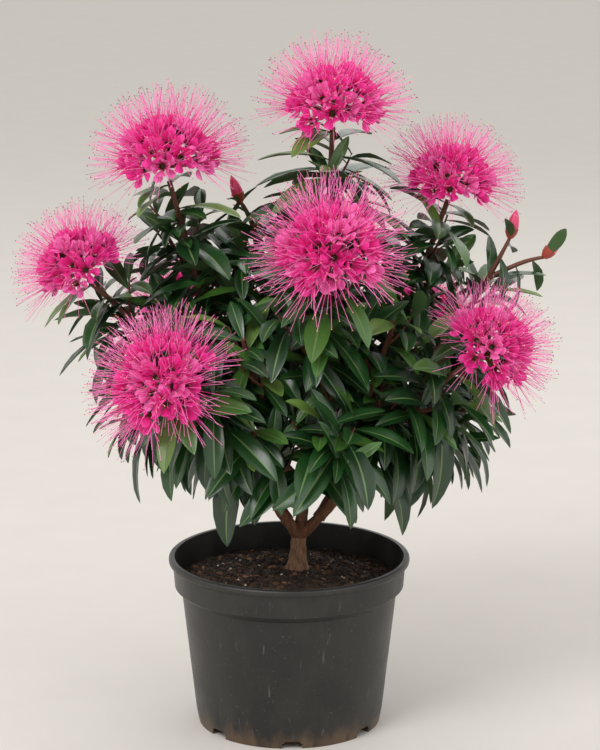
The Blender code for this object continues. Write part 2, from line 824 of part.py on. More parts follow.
class Crown:
    """The space in the crown: what each shoot may fill, and what is there already."""

    def __init__(self, shoots, limb_solids):
        self.shoots = shoots
        self.heads = [shoot.head for shoot in shoots if shoot.head]
        self.limbs = [BVHTree.FromPolygons(*faces_of(solid)) for solid in limb_solids]
        self.sleeves = []
        self.spaces = None
        self.own = []
        self.blades = []
        self.survey()

    def survey(self):
        """Take in the stems and twigs that the shoots have now."""
        rows = [
            (branch.point(step / SURVEY_STEPS), owner)
            for owner, shoot in enumerate(self.shoots)
            for branch in shoot.branches()
            for step in range(SURVEY_STEPS + 1)
        ]
        self.spaces = point_tree(rows)
        self.own = [
            point_tree([row for row in rows if row[1] == owner])
            for owner in range(len(self.shoots))
        ]
        self.sleeves = [
            (owner, BVHTree.FromPolygons(*ringed(branch, GAP)))
            for owner, shoot in enumerate(self.shoots)
            for branch in shoot.branches()
        ]

    def in_space(self, owner, point):
        """Whether a point lies nearer to the owner's branches than to any other shoot's."""
        nearest, found, distance = self.spaces.find(point)
        if found == owner:
            return True
        return self.own[owner].find(point)[2] < distance + SPACE_OVERLAP

    def own_space(self, owner, points):
        """Whether points lie in the owner's space, off the pot and off the flower heads."""
        return all(
            point.z > LEAF_FLOOR
            and not beside_trunk(point)
            and self.in_space(owner, point)
            and not any(head.holds(point) for head in self.heads)
            for point in points
        )

    def admits_twig(self, owner, twig):
        """Whether a side twig keeps to its shoot's space and clear of limbs and twigs."""
        outer = [twig.point(share) for share in (0.4, 0.7, 1.0)]
        sleeve = BVHTree.FromPolygons(*ringed(twig, TWIG_CLEARANCE))
        return (
            self.own_space(owner, outer)
            and not any(sleeve.overlap(limb) for limb in self.limbs)
            and not any(sleeve.overlap(tree) for other, tree in self.sleeves if other != owner)
        )

    def admits_leaf(self, owner, sections):
        """The leaf's test shapes if it fits, or nothing."""
        if not self.own_space(owner, [point for section in sections[1:] for point in section]):
            return None
        blade = as_blade(owner, sections)
        if any(blade.whole.overlap(limb) for limb in self.limbs):
            return None
        for other, sleeve in self.sleeves:
            skin = blade.outer if other == owner else blade.whole
            if skin.overlap(sleeve):
                return None
        for near in self.blades:
            if (near.middle - blade.middle).length > near.radius + blade.radius:
                continue
            if near.owner == owner and near.outer.overlap(blade.outer):
                return None
            if near.owner != owner and near.whole.overlap(blade.whole):
                return None
        return blade

    def grow(self):
        """Give every shoot the twigs and then the leaves that fit."""
        for owner, shoot in enumerate(self.shoots):
            shoot.twigs = [twig for twig in shoot.propose_twigs() if self.admits_twig(owner, twig)]
        self.survey()
        for owner, shoot in enumerate(self.shoots):
            for shapes in shoot.propose_leaves():
                for sections in shapes:
                    blade = self.admits_leaf(owner, sections)
                    if blade:
                        self.blades.append(blade)
                        shoot.leaves.append(sections)
                        break


def merge(name, solids, pieces, parts):
    """Fuse the solids of a collection into one object, and drop the collection's objects."""
    body = solids[0]
    pieces.objects.unlink(body)
    parts.objects.link(body)
    body.name = name
    union = body.modifiers.new("Fuse", "BOOLEAN")
    union.operation = "UNION"
    union.operand_type = "COLLECTION"
    union.collection = pieces
    union.material_mode = "TRANSFER"
    body = baked(body)
    keep_largest(body.data)
    for used in list(pieces.objects):
        bpy.data.objects.remove(used)
    return body


def build_shoot(shoot, section, parts, materials):
    """One mass of foliage: the stem, twigs, leaves and blossom of a shoot, fused."""
    pieces = make_collection(f"{shoot.name}_pieces")
    solids = [tube("stem", shoot.stem, STEM_RINGS, section, pieces)]
    solids += [tube("twig", twig, TWIG_RINGS, section, pieces) for twig in shoot.branches()[1:]]
    for solid in solids:
        solid.data.materials.append(materials["bark"])
    for sections in shoot.leaves:
        points, faces = lofted(sections)
        mesh = bpy.data.meshes.new("leaf")
        mesh.from_pydata(points, [], faces)
        solids.append(place("leaf", mesh, pieces, materials["leaf"]))
    blossom = [
        build_bud(stalk.end, (stalk.heading(1.0) + UP).normalized(), pieces)
        for stalk in shoot.stalks
    ]
    if shoot.head:
        blossom += build_head(shoot.head, shoot.seed, pieces)
    for solid in blossom:
        solid.data.materials.append(materials["flower"])
    body = merge(shoot.name, solids + blossom, pieces, parts)
    bpy.data.collections.remove(pieces)
    return body


def main():
    """Build the pot, the mix, the trunk, the boughs and the leafy shoots."""
    clear_scene()
    parts = make_collection("potted_pink_penda")
    helpers = make_collection("helpers", helpers=True)
    roughness = {"pot": 0.55, "mix": 0.95, "bark": 0.8, "leaf": 0.35, "flower": 0.6}
    materials = {
        name: make_material(name, colour, roughness[name]) for name, colour in COLOURS.items()
    }
    build_pot(parts, helpers, materials["pot"])
    build_mix(parts, materials["mix"])
    limbs = plan_limbs()
    limb_section = ring_section("limb_section", LIMB_SIDES, helpers)
    build_limbs(limbs, limb_section, parts, helpers, materials["bark"])
    shoots = [
        Shoot(name, plan, limbs[plan.bough], seed)
        for seed, (name, plan) in enumerate(SHOOTS.items(), start=FIRST_SEED)
    ]
    crown = Crown(shoots, [helpers.objects[f"{name}_cutter"] for name in limbs])
    crown.grow()
    twig_section = ring_section("twig_section", 3, helpers)
    for shoot in shoots:
        build_shoot(shoot, twig_section, parts, materials)


if __name__ == "__main__":
    main()
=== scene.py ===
"""Looks of the potted pink penda, a flowering shrub in a round nursery pot.

Lengths are metres and +Z is up. The origin is the centre of the pot's flat underside, and
the front of the plant faces -Y. The stems, twigs and leaves follow the same growth rule as
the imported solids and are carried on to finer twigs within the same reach.
"""

import itertools
import json
import logging
import math
import random
from collections.abc import Iterator, Sequence
from dataclasses import dataclass, field
from enum import Enum
from typing import NamedTuple

import bmesh
import bpy
from mathutils import Matrix, Vector, noise
from mathutils.bvhtree import BVHTree
from mathutils.kdtree import KDTree

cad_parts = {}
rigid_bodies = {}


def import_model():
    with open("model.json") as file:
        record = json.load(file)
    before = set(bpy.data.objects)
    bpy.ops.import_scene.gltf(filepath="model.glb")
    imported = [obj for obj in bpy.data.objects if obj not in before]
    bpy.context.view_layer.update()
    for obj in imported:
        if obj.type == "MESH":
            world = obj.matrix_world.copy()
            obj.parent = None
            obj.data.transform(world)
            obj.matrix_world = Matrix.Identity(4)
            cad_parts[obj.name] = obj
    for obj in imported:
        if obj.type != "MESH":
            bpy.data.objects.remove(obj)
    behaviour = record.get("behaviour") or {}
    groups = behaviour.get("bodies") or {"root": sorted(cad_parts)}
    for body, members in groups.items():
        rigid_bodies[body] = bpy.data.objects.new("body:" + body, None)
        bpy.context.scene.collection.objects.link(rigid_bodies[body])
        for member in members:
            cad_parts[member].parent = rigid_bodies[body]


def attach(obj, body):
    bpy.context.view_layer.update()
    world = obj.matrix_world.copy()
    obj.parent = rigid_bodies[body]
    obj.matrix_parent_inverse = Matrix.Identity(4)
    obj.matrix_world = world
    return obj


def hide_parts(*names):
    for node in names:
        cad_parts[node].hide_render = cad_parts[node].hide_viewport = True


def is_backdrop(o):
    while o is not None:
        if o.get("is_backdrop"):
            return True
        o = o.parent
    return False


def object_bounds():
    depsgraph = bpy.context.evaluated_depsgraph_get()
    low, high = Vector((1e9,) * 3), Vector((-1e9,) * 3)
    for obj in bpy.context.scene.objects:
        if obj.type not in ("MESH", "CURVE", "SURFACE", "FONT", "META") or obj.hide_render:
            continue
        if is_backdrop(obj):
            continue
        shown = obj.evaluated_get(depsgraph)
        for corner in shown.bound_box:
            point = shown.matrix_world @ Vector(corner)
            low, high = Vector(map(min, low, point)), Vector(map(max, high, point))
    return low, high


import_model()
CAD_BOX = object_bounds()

log = logging.getLogger("potted_pink_penda")

UP = Vector((0.0, 0.0, 1.0))
GOLDEN_TURN = math.radians(137.5)
GAP = 0.0003
BODY = "root"
SMOOTH_EDGES = 40.0
SMOOTH_LUMPS = 60.0
SMOOTH_ALL = 180.0

Triple = tuple[float, float, float]
Colour = Triple
Faces = list[tuple[int, ...]]
Sections = list[list[Vector]]


class Slot(Enum):
    """The record's material slots."""

    POT = "pot"
    MIX = "potting_mix"
    BARK = "bark"
    LEAF = "foliage"
    BLOSSOM = "flowering_foliage"


# ---- Shader building


class Sock:
    """A shader output whose arithmetic adds Math nodes."""

    def __init__(self, shader: "Shader", socket: bpy.types.NodeSocket) -> None:
        """Wrap one output socket of a shader's tree."""
        self.shader = shader
        self.socket = socket

    def _math(self, operation: str, first: "Sock | float", second: "Sock | float") -> "Sock":
        """The result of one Math node on two values."""
        return self.shader.node("ShaderNodeMath", {"operation": operation}, {0: first, 1: second})

    def __add__(self, other: "Sock | float") -> "Sock":
        """Add a value."""
        return self._math("ADD", self, other)

    def __radd__(self, other: float) -> "Sock":
        """Add to a number."""
        return self._math("ADD", other, self)

    def __sub__(self, other: "Sock | float") -> "Sock":
        """Take a value away."""
        return self._math("SUBTRACT", self, other)

    def __rsub__(self, other: float) -> "Sock":
        """Take this away from a number."""
        return self._math("SUBTRACT", other, self)

    def __mul__(self, other: "Sock | float") -> "Sock":
        """Multiply by a value."""
        return self._math("MULTIPLY", self, other)

    def __rmul__(self, other: float) -> "Sock":
        """Multiply a number by this."""
        return self._math("MULTIPLY", other, self)


class Shader:
    """A Principled material under construction."""

    def __init__(self, name: str, colour: Colour, roughness: float) -> None:
        """Start a material with a plain colour and roughness.

        Args:
            name: The material's name.
            colour: Linear base colour.
            roughness: Roughness all over.
        """
        self.material = bpy.data.materials.new(name)
        self.material.use_nodes = True
        self.tree = self.material.node_tree
        self.principled = self.tree.nodes["Principled BSDF"]
        self.set("Base Color", (*colour, 1.0))
        self.set("Roughness", roughness)
        self.coordinates = self.node("ShaderNodeTexCoord", {}, {}, "Object")

    def set(self, name: str, value: object) -> None:
        """Set or link one socket of the Principled shader."""
        self._feed(self.principled.inputs[name], value)

    def _feed(self, socket: bpy.types.NodeSocket, value: object) -> None:
        """Give a socket a value or a link.

        Args:
            socket: The input socket.
            value: A plain value, or a wrapped output.
        """
        if isinstance(value, Sock):
            self.tree.links.new(value.socket, socket)
        else:
            socket.default_value = value

    def node(
        self,
        kind: str,
        settings: dict[str, object],
        inputs: dict[int | str, object],
        output: int | str = 0,
    ) -> Sock:
        """Add a node.

        Args:
            kind: The node's type.
            settings: Its own settings, set before its sockets.
            inputs: Values or links of its sockets.
            output: Which output to return.

        Returns:
            The wrapped output.
        """
        made = self.tree.nodes.new(kind)
        for name, value in settings.items():
            setattr(made, name, value)
        for name, value in inputs.items():
            self._feed(made.inputs[name], value)
        return Sock(self, made.outputs[output])

    def noise(self, scale: float, detail: float = 3.0, stretch: Sock | None = None) -> Sock:
        """A noise value from 0 to 1 on Object coordinates.

        Args:
            scale: The scale of the noise.
            detail: Its detail.
            stretch: Coordinates to use in place of the Object coordinates.

        Returns:
            The noise value.
        """
        vector = stretch or self.coordinates
        inputs = {"Vector": vector, "Scale": scale, "Detail": detail, "Roughness": 0.6}
        return self.node("ShaderNodeTexNoise", {}, inputs)

    def stretched(self, upright: float) -> Sock:
        """Object coordinates with their height scaled."""
        inputs = {0: self.coordinates, 1: (1.0, 1.0, upright)}
        return self.node("ShaderNodeVectorMath", {"operation": "MULTIPLY"}, inputs)

    def height(self) -> Sock:
        """The Z part of the Object coordinates."""
        return self.node("ShaderNodeSeparateXYZ", {}, {0: self.coordinates}, "Z")

    def window(self, value: Sock, low: float, high: float) -> Sock:
        """A value brought from a range to 0 to 1 and clamped."""
        inputs = {"Value": value, 1: low, 2: high}
        return self.node("ShaderNodeMapRange", {"clamp": True}, inputs)

    def mix(self, share: Sock | float, first: object, second: object) -> Sock:
        """A colour between two colours."""
        inputs = {0: share, 6: _opaque(first), 7: _opaque(second)}
        return self.node("ShaderNodeMix", {"data_type": "RGBA"}, inputs, 2)

    def bump(self, height: Sock, distance: float, strength: float = 1.0) -> None:
        """Feed a height to the shader's Normal by a Bump node."""
        inputs = {"Height": height, "Distance": distance, "Strength": strength}
        self.set("Normal", self.node("ShaderNodeBump", {}, inputs))


def _opaque(colour: object) -> object:
    """A colour with its alpha, or a link left as it is."""
    return colour if isinstance(colour, Sock) else (*colour, 1.0)


@dataclass(frozen=True)
class PlantFinish:
    """A plant tissue: one plain colour, with a gloss and a grain that vary."""

    name: str
    colour: Colour
    roughness: float = 0.45
    grain: float = 900.0
    relief: float = 0.0001
    translucence: float = 0.0
    coat: float = 0.0
    gloss_swing: float = 0.22
    coat_roughness: float = 0.25
    glow_radius: Triple = (0.004, 0.0015, 0.0015)
    glow_scale: float = 0.4

    def build(self) -> bpy.types.Material:
        """The finish as a material.

        Returns:
            The material.
        """
        shader = Shader(self.name, self.colour, self.roughness)
        mottle = shader.noise(self.grain)
        calm = self.roughness - self.gloss_swing / 2.0
        shader.set("Roughness", mottle * self.gloss_swing + calm)
        shader.bump(mottle, self.relief)
        shader.set("Coat Weight", self.coat)
        shader.set("Coat Roughness", self.coat_roughness)
        if self.translucence:
            shader.set("Subsurface Weight", self.translucence)
            shader.set("Subsurface Radius", self.glow_radius)
            shader.set("Subsurface Scale", self.glow_scale)
        return shader.material


@dataclass(frozen=True)
class BarkFinish:
    """Bark: lengthwise streaks of two browns with pale specks."""

    name: str
    dark: Colour
    light: Colour
    speck: Colour = (0.33, 0.24, 0.16)
    streak_scale: float = 420.0
    streak_length: float = 0.25
    speck_scale: float = 1500.0
    relief: float = 0.0008

    def build(self) -> bpy.types.Material:
        """The finish as a material.

        Returns:
            The material.
        """
        shader = Shader(self.name, self.light, 0.8)
        streaks = shader.noise(self.streak_scale, 5.0, shader.stretched(self.streak_length))
        specks = shader.window(shader.noise(self.speck_scale, 2.0), 0.60, 0.72)
        body = shader.mix(shader.window(streaks, 0.35, 0.65), self.dark, self.light)
        shader.set("Base Color", shader.mix(specks * 0.5, body, self.speck))
        shader.set("Roughness", streaks * 0.2 + 0.68)
        shader.bump(streaks, self.relief)
        return shader.material


@dataclass(frozen=True)
class PotFinish:
    """Moulded charcoal plastic with scuffs, dust and a line of soil near its foot."""

    name: str = "pot_plastic"
    plastic: Colour = (0.011, 0.0105, 0.010)
    dust: Colour = (0.055, 0.050, 0.043)
    soil: Colour = (0.120, 0.072, 0.038)
    scuff: Colour = (0.15, 0.14, 0.13)
    foot_line: tuple[float, float] = (0.004, 0.040)
    rim_line: tuple[float, float] = (0.110, 0.142)

    def build(self) -> bpy.types.Material:
        """The finish as a material.

        Returns:
            The material.
        """
        shader = Shader(self.name, self.plastic, 0.45)
        cloud = shader.noise(28.0, 6.0)
        smear = shader.noise(60.0, 6.0, shader.stretched(0.35))
        fleck = shader.window(shader.noise(520.0, 3.0), 0.66, 0.74)
        scratch = shader.window(shader.noise(240.0, 4.0, shader.stretched(0.12)), 0.66, 0.72)
        height = shader.height()
        foot = 1.0 - shader.window(height, *self.foot_line)
        rim = shader.window(height, *self.rim_line)
        veil = shader.window(cloud + smear * 0.7, 0.75, 1.25) * (0.30 + foot * 0.35 + rim * 0.10)
        body = shader.mix(veil, self.plastic, self.dust)
        worn = shader.mix(fleck * 0.55 + scratch * 0.35, body, self.scuff)
        line = shader.window(smear + foot * 0.55, 0.86, 1.10) * foot
        shader.set("Base Color", shader.mix(line * 0.75, worn, self.soil))
        shader.set("Roughness", cloud * 0.30 + veil * 0.3 + 0.22)
        grain = shader.noise(1400.0, 2.0)
        shader.bump(grain * 0.3 + smear, 0.0004, 0.6)
        return shader.material


@dataclass(frozen=True)
class MixFinish:
    """Moist potting mix: dark crumbs with lighter fibres."""

    name: str = "mix_crumbs"
    dark: Colour = (0.012, 0.007, 0.005)
    light: Colour = (0.075, 0.038, 0.020)
    fibre: Colour = (0.16, 0.09, 0.05)
    relief: float = 0.0015

    def build(self) -> bpy.types.Material:
        """The finish as a material.

        Returns:
            The material.
        """
        shader = Shader(self.name, self.dark, 0.9)
        crumbs = shader.noise(330.0, 6.0)
        fibres = shader.window(shader.noise(900.0, 4.0), 0.58, 0.70)
        body = shader.mix(shader.window(crumbs, 0.38, 0.68), self.dark, self.light)
        shader.set("Base Color", shader.mix(fibres * 0.4, body, self.fibre))
        shader.set("Roughness", crumbs * 0.2 + 0.75)
        shader.bump(crumbs, self.relief)
        return shader.material


class Tint(Enum):
    """The finishes of leaves and blossom, each a plain colour dealt out by spray."""

    LEAF_DARK = PlantFinish("leaf_dark", (0.007, 0.034, 0.009), 0.33, coat=0.3)
    LEAF_MID = PlantFinish("leaf_mid", (0.012, 0.055, 0.011), 0.33, coat=0.3)
    LEAF_FRESH = PlantFinish("leaf_fresh", (0.045, 0.125, 0.018), 0.36, coat=0.3)
    LEAF_YOUNG = PlantFinish("leaf_young", (0.105, 0.190, 0.030), 0.40, coat=0.25)
    LEAF_AGED = PlantFinish("leaf_aged", (0.110, 0.062, 0.016), 0.5)
    LEAF_RIB = PlantFinish("leaf_rib", (0.110, 0.190, 0.060), 0.42, coat=0.2)
    LEAF_UNDER = PlantFinish("leaf_under", (0.060, 0.125, 0.042), 0.55)
    TWIG = PlantFinish("twig_skin", (0.120, 0.036, 0.016), 0.6, relief=0.0003)
    PETAL = PlantFinish("petal", (0.830, 0.040, 0.330), 0.45, translucence=0.15)
    PETAL_PALE = PlantFinish("petal_pale", (0.900, 0.190, 0.520), 0.45, translucence=0.15)
    FILAMENT = PlantFinish("filament_deep", (0.820, 0.035, 0.320), 0.4)
    FILAMENT_PALE = PlantFinish("filament_pale", (0.900, 0.210, 0.520), 0.4)
    ANTHER = PlantFinish("anther_dark", (0.130, 0.022, 0.028), 0.6)
    ANTHER_CREAM = PlantFinish("anther_cream", (0.800, 0.400, 0.220), 0.6)
    CUP = PlantFinish("flower_cup", (0.090, 0.050, 0.016), 0.5)
    CALYX = PlantFinish("calyx", (0.340, 0.052, 0.030), 0.5)
    STALK = PlantFinish("flower_stalk", (0.230, 0.075, 0.030), 0.55)
    BUD = PlantFinish("bud_pink", (0.720, 0.045, 0.160), 0.4, coat=0.2)
    CHIP = PlantFinish("bark_chip", (0.095, 0.036, 0.016), 0.8, 500.0, 0.0004)
    CHIP_PALE = PlantFinish("bark_chip_pale", (0.240, 0.120, 0.060), 0.8, 500.0, 0.0004)
    CRUMB = PlantFinish("mix_crumb", (0.022, 0.012, 0.008), 0.9, 700.0, 0.0004)
    PERLITE = PlantFinish("perlite", (0.560, 0.500, 0.420), 0.85, 700.0, 0.0003)


_BUILT: dict[str, bpy.types.Material] = {}


def material_of(tint: Tint) -> bpy.types.Material:
    """The material of a tint, built once.

    Args:
        tint: The tint.

    Returns:
        The material.
    """
    if tint.name not in _BUILT:
        _BUILT[tint.name] = tint.value.build()
    return _BUILT[tint.name]


# ---- Mesh helpers


@dataclass
class Skin:
    """Points, faces and the slot of each face, gathered from many small shapes."""

    points: list[Vector] = field(default_factory=list)
    faces: Faces = field(default_factory=list)
    slots: list[int] = field(default_factory=list)

    def add(self, points: Sequence[Vector], faces: Faces, slots: Sequence[int] | int = 0) -> None:
        """Add one shape, with one slot for all its faces or a slot for each.

        Args:
            points: The corners of the shape.
            faces: Its faces, as places in the points.
            slots: The slot of all its faces, or one for each.
        """
        first = len(self.points)
        self.points.extend(points)
        self.faces.extend(tuple(first + corner for corner in face) for face in faces)
        self.slots.extend([slots] * len(faces) if isinstance(slots, int) else slots)

    def triangles(self) -> int:
        """How many triangles the faces come to."""
        return sum(len(face) - 2 for face in self.faces)

    def build(
        self, name: str, materials: Sequence[bpy.types.Material], smooth: float = SMOOTH_EDGES
    ) -> bpy.types.Object:
        """Make the shapes one mesh object.

        Args:
            name: The object's name.
            materials: The materials of its slots.
            smooth: Edges that bend more than this many degrees stay sharp.

        Returns:
            The object, linked into the scene.
        """
        mesh = bpy.data.meshes.new(name)
        mesh.from_pydata(self.points, [], self.faces)
        for material in materials:
            mesh.materials.append(material)
        mesh.polygons.foreach_set("material_index", self.slots)
        return finished(name, mesh, smooth)


def finished(name: str, mesh: bpy.types.Mesh, smooth: float = SMOOTH_EDGES) -> bpy.types.Object:
    """A mesh as a smooth-shaded object in the scene.

    Args:
        name: The object's name.
        mesh: Its mesh.
        smooth: Edges that bend more than this many degrees stay sharp.

    Returns:
        The object.
    """
    mesh.polygons.foreach_set("use_smooth", [True] * len(mesh.polygons))
    mesh.set_sharp_from_angle(angle=math.radians(smooth))
    mesh.update()
    return placed(name, mesh)


def placed(name: str, data: bpy.types.ID) -> bpy.types.Object:
    """A new object in the scene.

    Args:
        name: The object's name.
        data: Its mesh, light or camera.

    Returns:
        The object.
    """
    obj = bpy.data.objects.new(name, data)
    bpy.context.scene.collection.objects.link(obj)
    return obj


def evaluated_copy(obj: bpy.types.Object, name: str) -> bpy.types.Object:
    """Replace an object with live modifiers by its plain mesh.

    Args:
        obj: The object, which is removed.
        name: The new object's name.

    Returns:
        The object with the plain mesh.
    """
    bpy.context.view_layer.update()
    graph = bpy.context.evaluated_depsgraph_get()
    mesh = bpy.data.meshes.new_from_object(obj.evaluated_get(graph))
    bpy.data.objects.remove(obj)
    return finished(name, mesh)


def report(piece: bpy.types.Object, slot: Slot, *nodes: str) -> None:
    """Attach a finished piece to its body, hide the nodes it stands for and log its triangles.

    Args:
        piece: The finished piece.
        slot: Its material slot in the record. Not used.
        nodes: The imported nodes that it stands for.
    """
    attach(piece, BODY)
    if nodes:
        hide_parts(*nodes)
    count = sum(len(face.vertices) - 2 for face in piece.data.polygons)
    log.info("%s: %d triangles", piece.name, count)


def across(heading: Vector) -> tuple[Vector, Vector]:
    """Two directions square to a heading and to each other.

    Args:
        heading: A unit direction.

    Returns:
        The two unit directions.
    """
    side = heading.cross(UP if abs(heading.z) < 0.9 else Vector((1.0, 0.0, 0.0)))
    side.normalize()
    return side, heading.cross(side).normalized()


def spoke(axes: tuple[Vector, Vector], turn: float) -> Vector:
    """The direction at a turn from the first of two square axes towards the second."""
    return axes[0] * math.cos(turn) + axes[1] * math.sin(turn)


def turns_of(count: int) -> list[float]:
    """Even turns round a full circle."""
    return [math.tau * step / count for step in range(count)]


def on_circle(radius: float, turn: float, height: float = 0.0) -> Vector:
    """A point on a level circle about the Z axis."""
    return Vector((radius * math.cos(turn), radius * math.sin(turn), height))


def blend(first: float, last: float, share: float) -> float:
    """The value at this share of the way from the first to the last."""
    return first + (last - first) * share


def turned_away(heading: Vector, turn: float, spread: float) -> Vector:
    """A direction that leans from a heading by the spread, turned about it."""
    return heading * math.cos(spread) + spoke(across(heading), turn) * math.sin(spread)


def lofted(sections: Sections) -> tuple[list[Vector], Faces]:
    """Points and faces of a closed skin over sections whose first and last are points.

    Args:
        sections: The sections in order, the first and the last of one point each.

    Returns:
        The points and the faces.
    """
    points = [point for section in sections for point in section]
    faces: Faces = []
    low = 0
    for section, above in zip(sections, sections[1:]):
        high = low + len(section)
        sides = max(len(section), len(above))
        for corner in range(sides):
            beside = (corner + 1) % sides
            if len(above) == 1:
                faces.append((low + corner, low + beside, high))
            elif len(section) == 1:
                faces.append((low, high + beside, high + corner))
            else:
                faces.append((low + corner, low + beside, high + beside, high + corner))
        low = high
    return points, faces


def lathe(profile: Sequence[tuple[float, float]], steps: int) -> tuple[list[Vector], Faces]:
    """A turned skin from (radius, height) points that run up its outer side, ends on the axis.

    Args:
        profile: The points of the profile.
        steps: How many sides the skin has.

    Returns:
        The points and the faces, which look outwards.
    """
    sections: Sections = []
    for radius, height in profile:
        turns = turns_of(steps) if radius > 0.0 else [0.0]
        sections.append([on_circle(radius, turn, height) for turn in turns])
    points, faces = lofted(sections)
    return points, [face[::-1] for face in faces]


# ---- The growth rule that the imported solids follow

TRUNK_FOOT = Vector((0.007, 0.0, 0.130 + GAP))
TRUNK_FORK = Vector((0.009, 0.002, 0.163))
TRUNK_RADIUS = 0.0066
TRUNK_TAPER = 0.92
FLARE_RADIUS = 0.0040
FLARE_FADE = 6.0
LIMB_SAG = 0.12
LEAF_STATIONS = (0.30, 0.70)
LEAF_WIDTH_RATIO = 0.30
LEAF_WIDEST = 0.56
LEAF_FULLNESS = 0.9
LEAF_FOLD = math.radians(13.0)
LEAF_THICKNESS = 0.0012
OLD_LEAF_LENGTH = 0.084
YOUNG_LEAF_LENGTH = 0.056
OLD_SPREAD = math.radians(78.0)
YOUNG_SPREAD = math.radians(48.0)
COLLAR_LENGTH = 0.068
COLLAR_SPREAD = math.radians(76.0)
OLD_SAG = 0.55
YOUNG_SAG = 0.05
OLD_DROOP = math.radians(58.0)
YOUNG_DROOP = math.radians(30.0)
LEAF_ROLL = 0.45
LENGTH_SCATTER = (0.85, 1.1)
SPREAD_SCATTER = (-0.15, 0.15)
DROOP_SCATTER = (0.7, 1.2)
SAG_SCATTER = (0.6, 1.3)
LEAF_CROWDING = 0.85
OUTWARD_FACE = 0.6
STEM_FACE = 0.5
STALK_LEAF_SIZE = 0.62
LEAF_FLOOR = 0.163
TRUNK_CLEAR_RADIUS = 0.046
TRUNK_CLEAR_HEIGHT = 0.202
FRONT_CLEAR_WIDTH = 0.036
TWIG_LEAVES = 5
STALK_LEAVES = 3
LEAF_SWINGS = (0.0, 28.0, -28.0, 55.0, -55.0)
LEAF_SIZES = (1.0, 0.84, 0.70)
SPACE_OVERLAP = 0.012
STEM_RADIUS = 0.0030
STEM_TIP_RADIUS = 0.0022
TWIG_RADIUS = 0.0023
TWIG_TIP_RADIUS = 0.0015
TWIG_LENGTH = 0.042
TWIG_SPREAD = math.radians(52.0)
TWIG_RISE = 0.35
TWIG_PITCH = 0.050
LEAF_PITCH = 0.0106
TWIG_FIRST = 0.12
TWIG_LAST = 0.74
TWIG_CLEARANCE = 0.002
STEM_FIRST_LEAF = 0.10
TWIG_FIRST_LEAF = 0.35
STALK_FIRST_LEAF = 0.45
LAST_LEAF = 0.985
LEAF_ROOT_DEPTH = 0.0006
FIRST_SEED = 11
STEM_LEAD = 0.4
STALK_LEAD = 0.15
STALK_DEPTH = 0.002
TWIG_LEAD = 0.5
TWIG_SCATTER = (0.8, 1.2)
TWIG_PROBES = (0.4, 0.7, 1.0)
SURVEY_STEPS = 10
STEM_RINGS = (0.0, 0.02, 0.33, 0.67, 1.0)
HEAD_REACH = 0.064
HEAD_CENTRE_RISE = 0.010
HEAD_CORE = 0.92
HEAD_SKIRT = -0.10

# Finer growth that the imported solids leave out
FINE_TWIG_PITCH = 0.022
FINE_TWIG_LENGTH = 0.034
FINE_TWIG_RADIUS = 0.0013
FINE_TWIG_TIP_RADIUS = 0.0008
FINE_TWIG_SCATTER = (0.7, 1.2)
FINE_TWIG_FIRST = 0.08
FINE_TWIG_RUN = 0.80
FINE_TWIGS_PER_TWIG = 2
FINE_TWIG_LEAVES = 6
FINE_TWIG_FIRST_LEAF = 0.3
FINE_LEAF_SIZE = 0.80
FINE_STEM_LEAF_PITCH = 0.0078
FINE_STEM_LEAF_SIZE = 0.9
FINE_STEM_FIRST_LEAF = 0.04
MORE_TWIG_LEAVES = 4
MORE_FIRST_LEAF = 0.2
FINE_LEAF_FLOOR = 0.192
FINE_SEED = 411

# The overlap tests
NO_OWNER = -1
LIMB_SIDES = 6
CELL = 0.05


class LimbPlan(NamedTuple):
    """Where a bough leaves what carries it, where its tip is, and how thick it is."""

    parent: str
    place: float
    tip: Triple
    base_radius: float
    tip_radius: float


class ShootPlan(NamedTuple):
    """The stem of a leafy shoot that grows on from a bough, and what it carries."""

    bough: str
    tip: Triple
    head_axis: Triple | None = None
    head_reach: float = HEAD_REACH
    buds: tuple[Triple, ...] = ()


